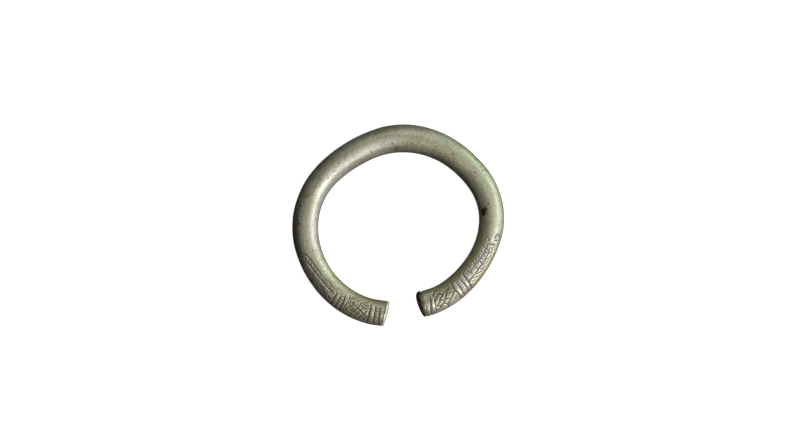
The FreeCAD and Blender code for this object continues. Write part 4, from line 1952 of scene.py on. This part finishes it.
@dataclass(frozen=True)
class Joints:
    """Solder and filling, which keep their CAD shapes and get their finishes."""

    finishes: tuple[tuple[str, PlainFinish], ...] = (
        ("inner_seam_solder", SEAM_METAL), ("left_cap_solder", JOINT_METAL),
        ("right_cap_solder", PALE_JOINT_METAL), ("filling_core", PITCH),
    )

    def build(self) -> None:
        """Gives each CAD node its material."""
        for node, finish in self.finishes:
            material = finish.make()
            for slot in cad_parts[node].material_slots:
                slot.material = material
            log.info("%s: dressed", node)


@dataclass(frozen=True)
class SoftBox:
    """Square area light that points at the object. Angles in degrees, lengths in metres.

    Brightness is the light that falls on a sheet turned straight towards it, at the object.
    """

    name: str
    azimuth: float
    from_zenith: float
    size: float
    brightness: float
    colour: tuple[float, float, float]
    distance: float = 0.9

    def build(self) -> None:
        """Makes the light."""
        tilt, turn = math.radians(self.from_zenith), math.radians(self.azimuth)
        toward = Vector((math.sin(tilt) * math.cos(turn), math.sin(tilt) * math.sin(turn), math.cos(tilt)))
        lamp = bpy.data.lights.new(self.name, "AREA")
        lamp.shape = "SQUARE"
        lamp.size = self.size
        lamp.energy = self.brightness * math.pi * self.distance ** 2
        lamp.color = self.colour
        shown = bpy.data.objects.new(self.name, lamp)
        shown.location = toward * self.distance
        shown.rotation_euler = (-toward).to_track_quat("-Z", "Y").to_euler()
        bpy.context.scene.collection.objects.link(shown)


@dataclass(frozen=True)
class Floor:
    """Round pale floor whose edge rises into a wall, so no horizon shows in low views.

    Lengths in metres. It lies a trace lower than the object, so that the two never share a plane.
    """

    radius: float = 1.5
    flat_share: float = 0.9
    bend_share: float = 0.5
    wall_height: float = 2.4
    bend_steps: int = 12
    sides: int = 64
    drop: float = 0.00002
    glow: float = 0.90

    def profile(self) -> list[Point2]:
        """Distances from the middle and heights, from the flat part to the top of the wall.

        Returns:
            One pair for each ring of points.
        """
        flat, bend = self.flat_share * self.radius, self.bend_share * self.radius
        rings = [(flat, 0.0)]
        for step in range(1, self.bend_steps + 1):
            turn = math.pi / 2 * step / self.bend_steps
            rings.append((flat + bend * math.sin(turn), bend * (1 - math.cos(turn))))
        return rings + [(flat + bend, self.wall_height)]

    def build(self) -> None:
        rings = self.profile()
        points = [(0.0, 0.0, -self.drop)]
        for reach, height in rings:
            for side in range(self.sides):
                turn = 2 * math.pi * side / self.sides
                points.append((reach * math.cos(turn), reach * math.sin(turn), height - self.drop))
        faces: list[tuple[int, ...]] = []
        for side in range(self.sides):
            ahead = (side + 1) % self.sides
            faces.append((0, 1 + side, 1 + ahead))
            for ring in range(len(rings) - 1):
                here, there = 1 + ring * self.sides, 1 + (ring + 1) * self.sides
                faces.append((here + side, there + side, there + ahead, here + ahead))
        mesh = bpy.data.meshes.new("floor")
        mesh.from_pydata(points, [], faces)
        mesh.polygons.foreach_set("use_smooth", [True] * len(mesh.polygons))
        pale = FLOOR.make()
        surface = pale.node_tree.nodes["Principled BSDF"]
        surface.inputs["Emission Color"].default_value = (1.0, 1.0, 1.0, 1)
        surface.inputs["Emission Strength"].default_value = self.glow
        mesh.materials.append(pale)
        floor = bpy.data.objects.new("floor", mesh)
        floor.visible_glossy = False
        floor.visible_diffuse = False
        bpy.context.scene.collection.objects.link(floor)


@dataclass(frozen=True)
class Studio:
    """Pale floor, soft lights and the camera straight above. Lengths in metres."""

    floor: Floor = Floor()
    camera_height: float = 0.7070
    seen_shift_px: Point2 = (0.45, 0.3)
    middle_height: float = 0.0053
    lens: float = 85.0
    sensor: float = 36.0
    sky: Colour = (0.6, 0.85, 1.3, 1)
    sky_strength: float = 0.012
    lights: tuple[SoftBox, ...] = (
        SoftBox("key", -32, 52, 0.38, 1.62, (1.0, 1.0, 1.04)),
        SoftBox("overhead", -60, 20, 0.45, 0.43, (1.0, 0.94, 0.66)),
        SoftBox("back fill", 90, 48, 0.45, 0.59, (0.99, 1.0, 0.88)),
        SoftBox("low right", 0, 76, 0.45, 0.75, (0.93, 0.94, 1.2)),
        SoftBox("low green", 30, 76, 0.45, 1.08, (0.87, 1.0, 0.78)),
    )

    def build(self) -> None:
        """Makes floor, lights, world and camera."""
        self.floor.build()
        for light in self.lights:
            light.build()
        world = bpy.data.worlds.new("studio")
        world.use_nodes = True
        background = world.node_tree.nodes["Background"]
        background.inputs["Color"].default_value = self.sky
        background.inputs["Strength"].default_value = self.sky_strength
        scene = bpy.context.scene
        scene.world = world
        scene.view_settings.view_transform = "Standard"
        self.make_camera()

    def make_camera(self) -> None:
        """Camera straight above, placed so the object lies where the photograph has it."""
        lens = bpy.data.cameras.new("camera")
        lens.lens, lens.sensor_width = self.lens, self.sensor
        camera = bpy.data.objects.new("camera", lens)
        seen = [middle + shift for middle, shift in zip(OBJECT_CENTRE_PX, self.seen_shift_px)]
        right = (IMAGE_PX[0] / 2 - seen[0]) * PIXEL
        back = (seen[1] - IMAGE_PX[1] / 2) * PIXEL
        camera.location = (right, back, self.middle_height + self.camera_height)
        bpy.context.scene.collection.objects.link(camera)
        bpy.context.scene.camera = camera


def main() -> None:
    logging.basicConfig(level=logging.INFO, format="%(name)s: %(message)s")
    hoop = Hoop()
    hoop.build()
    EndCap("left_cap", "left_end_cap", End.LEFT, LEFT_CAP_PAINTED_LIGHT_METAL,
           dome_height=0.45, top_shift=-1.5, edge_round=0.75).build(hoop.line_of)
    EndCap("right_cap", "right_end_cap", End.RIGHT, RIGHT_CAP_PAINTED_SHADE_METAL,
           dome_height=1.4, top_shift=-2.2, edge_round=0.8, lip=0.15).build(hoop.line_of)
    Joints().build()
    Studio().build()


if __name__ == "__main__":
    main()
